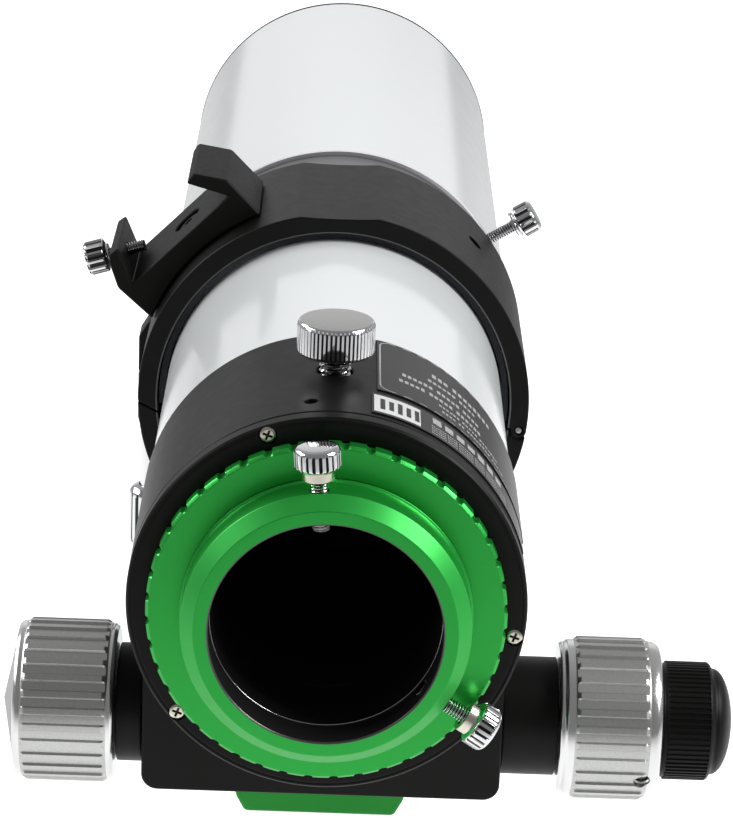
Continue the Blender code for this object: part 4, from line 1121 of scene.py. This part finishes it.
def focus_lock():
    place = radial(middle("focus_lock_stud").y, 90.0)
    stud("focus_lock_stud", 3.7, 1.25, 31.6, 52.7, place)
    outline = solid((8.2, 48.6), (8.6, 48.9), (8.8, 49.4), (8.8, 55.3), (8.45, 56.0), (8.1, 56.3))
    knob("focus_lock_knob", outline, 4.0, 4.4, (54, 0.36, 0.5), place, 48.9, 55.6, 0.12,
         [(SILVER, lambda r, y, h: h > 56.25)])


def adapter_screws():
    for name, (angle, out) in ADAPTER_SCREWS.items():
        place = radial(middle(name + "_stud").y, angle)
        # painted highlight on the end of the stud inside the bore
        tip = (TIP_HIGHLIGHT, lambda r, y, h: h < 25.6 and r > 1.66)
        stud(name + "_stud", 1.95, 0.7, 22.8 + out, 40.2 + out, place, patches=[tip])
        outline = fluted_head(34.4 + out, 3.6, 5.05, 37.0 + out, 41.8 + out, 1.2)
        collar = (NICKEL, lambda r, y, h: h < 36.4 + out)
        knob(name + "_knob", outline, 2.25, 6.1, (21, 0.5, 0.42), place, 37.3 + out, 40.7 + out,
             patches=[collar])


def dew_lock():
    place = radial(middle("dew_lock_stud").y, DEW_ANGLE)
    stud("dew_lock_stud", 1.8, 0.7, 44.0, 61.5, place)
    outline = solid((3.5, 56.9), (3.8, 57.2), (3.8, 57.8), (3.5, 58.1), (2.8, 58.1), (2.8, 58.6),
                    (4.2, 58.8), (4.65, 59.2), (4.65, 62.6), (4.3, 63.3), (3.6, 63.8))
    knob("dew_lock_knob", outline, 2.1, 4.9, (12, 0.6, 0.55), place, 58.7, 63.2, 0.12)


def ring_clamp():
    place = pointing((CLAMP_X, RING_Y, AXIS_Z), (0, 0, -1))
    stud("ring_clamp_stud", 1.8, 0.8, -4.0, 47.6, place, smooth=18.1)
    outline = solid((3.0, 34.6), (4.3, 35.1), (5.2, 36.2), (5.5, 37.4), (5.5, 49.6), (5.1, 51.0),
                    (4.2, 51.9), (3.8, 52.0))
    knob("ring_clamp_knob", outline, 2.8, 13.3, (16, 0.4, 0.45), place, 36.8, 50.6, 0.2)


def shoe_screw():
    place = jaw_place()
    stud("shoe_screw_stud", 1.7, 0.7, 0.0, 14.3, place)
    outline = fluted_head(9.6, 2.9, 4.65, 10.6, 16.1, 1.2)
    knob("shoe_screw_knob", outline, 2.0, 5.0, (12, 0.75, 0.7), place, 10.8, 15.6)


# ---------------- kept CAD pieces
def finish_kept():
    """CAD nodes inside the focuser that keep their shape."""
    for node, finish in (("rack", STEEL), ("pinion_shaft", STEEL), ("fine_shaft", STEEL),
                         ("guide_ring_rear", NYLON), ("guide_ring_front", NYLON)):
        frame["nodes"][node].material_slots[0].material = finish


# ---------------- studio, in metres
FLOOR_HALF = 6.0
FLOOR_HEIGHT = -0.0003
# glow of the floor by distance from the part
FLOOR_GLOW = {"From Min": 0.15, "From Max": 0.45, "To Min": 0.75, "To Max": 0.0}
# brightness of the surround from behind the camera (0) to ahead of it (1)
SURROUND_LEVELS = ((0.0, 0.20), (0.35, 0.22), (0.6, 0.30), (0.93, 0.42), (0.975, 0.85))
PANELS = (("left", (-0.95, 0.20, 0.70), (1.1, 0.5), 11.5),
          ("right", (0.85, -0.25, 0.75), (0.6, 0.5), 12.0))
CAMERA_PLACE = (-0.76, -800.33, 360.59)              # millimetres
CAMERA_PITCH, CAMERA_YAW, CAMERA_ROLL = 19.731, 0.699, 2.284
CAMERA_LENS = 138.8


def panel(name, place, target, size, power):
    data = bpy.data.lights.new(name, "AREA")
    data.shape = "RECTANGLE"
    data.size, data.size_y = size
    data.energy = power
    lamp = bpy.data.objects.new(name, data)
    bpy.context.scene.collection.objects.link(lamp)
    lamp.location = place
    aim = Vector(target) - Vector(place)
    lamp.rotation_mode = "QUATERNION"
    lamp.rotation_quaternion = aim.to_track_quat("-Z", "Y")


def floor():
    """Pale floor. Reflections see it fall off to a darker room beyond the part."""
    mesh = bmesh.new()
    bmesh.ops.create_grid(mesh, x_segments=8, y_segments=8, size=FLOOR_HALF)
    cover = Paint("floor_white", grey(0.56), 0.7)
    cover.mottle(cover.texture(400.0), grey(0.54))
    cover.set(Specular_IOR_Level=0.1, Emission_Color=(1.0, 1.0, 1.0, 1.0))
    link = cover.tree.links.new
    away = cover.node("VectorMath", operation="LENGTH")
    link(cover.place, away.inputs[0])
    near = cover.node("MapRange")
    for name, value in FLOOR_GLOW.items():
        near.inputs[name].default_value = value
    link(away.outputs["Value"], near.inputs["Value"])
    rays = cover.node("LightPath")
    larger = cover.node("Math", operation="MAXIMUM")
    link(near.outputs["Result"], larger.inputs[0])
    link(rays.outputs["Is Camera Ray"], larger.inputs[1])
    link(larger.outputs["Value"], cover.shader.inputs["Emission Strength"])
    thing("floor", mesh, cover.material, Matrix.Translation((0, 0, FLOOR_HEIGHT)))


def surround():
    """Soft surround, brightest ahead of the camera and dim behind it, white to the camera."""
    world = bpy.data.worlds.new("surround")
    bpy.context.scene.world = world
    world.use_nodes = True
    link, nodes = world.node_tree.links.new, world.node_tree.nodes
    nodes.clear()
    place, split, shift, ramp, lit, seen, rays, mix, out = (
        nodes.new("ShaderNode" + kind) for kind in (
            "TexCoord", "SeparateXYZ", "MapRange", "ValToRGB", "Background", "Background",
            "LightPath", "MixShader", "OutputWorld"))
    link(place.outputs["Generated"], split.inputs["Vector"])
    shift.inputs["From Min"].default_value = -1.0
    link(split.outputs["Y"], shift.inputs["Value"])
    stops = ramp.color_ramp.elements
    for index, (position, level) in enumerate(SURROUND_LEVELS):
        stop = stops[index] if index < 2 else stops.new(position)
        stop.position = position
        stop.color = (level, level, level * 1.01, 1.0)
    link(shift.outputs["Result"], ramp.inputs["Fac"])
    link(ramp.outputs["Color"], lit.inputs["Color"])
    seen.inputs["Color"].default_value = (1.0, 1.0, 1.0, 1.0)
    link(rays.outputs["Is Camera Ray"], mix.inputs["Fac"])
    link(lit.outputs["Background"], mix.inputs[1])
    link(seen.outputs["Background"], mix.inputs[2])
    link(mix.outputs["Shader"], out.inputs["Surface"])


def studio():
    floor()
    surround()
    target = (0.0, -0.05, AXIS_Z * MM)
    for name, place, size, power in PANELS:
        panel(name, place, target, size, power)
    bpy.context.scene.view_settings.view_transform = "Standard"


def camera():
    pitch, yaw, roll = (radians(turn) for turn in (CAMERA_PITCH, CAMERA_YAW, CAMERA_ROLL))
    forward = Vector((sin(yaw) * cos(pitch), cos(yaw) * cos(pitch),
                      -sin(pitch)))
    right = Vector((cos(yaw), -sin(yaw), 0.0))
    up = right.cross(forward)
    across = right * cos(roll) + up * sin(roll)
    upward = up * cos(roll) - right * sin(roll)
    data = bpy.data.cameras.new("camera")
    data.lens = CAMERA_LENS
    data.clip_start = 0.01
    made = bpy.data.objects.new("camera", data)
    bpy.context.scene.collection.objects.link(made)
    turn = Matrix((across, upward, -forward)).transposed().to_4x4()
    made.matrix_world = moved(*CAMERA_PLACE) @ turn
    bpy.context.scene.camera = made


# ---------------- assembly
camera()
studio()
white_tube()
shield()
objective()
lower_half()
upper_half()
ring_trim()
shoe()
bar()
housing()
rear_plate()
labels()
axle_trim()
draw_tube()
knobs()
fine_knob()
rotator()
adapter()
focus_lock()
adapter_screws()
dew_lock()
ring_clamp()
shoe_screw()
finish_kept()
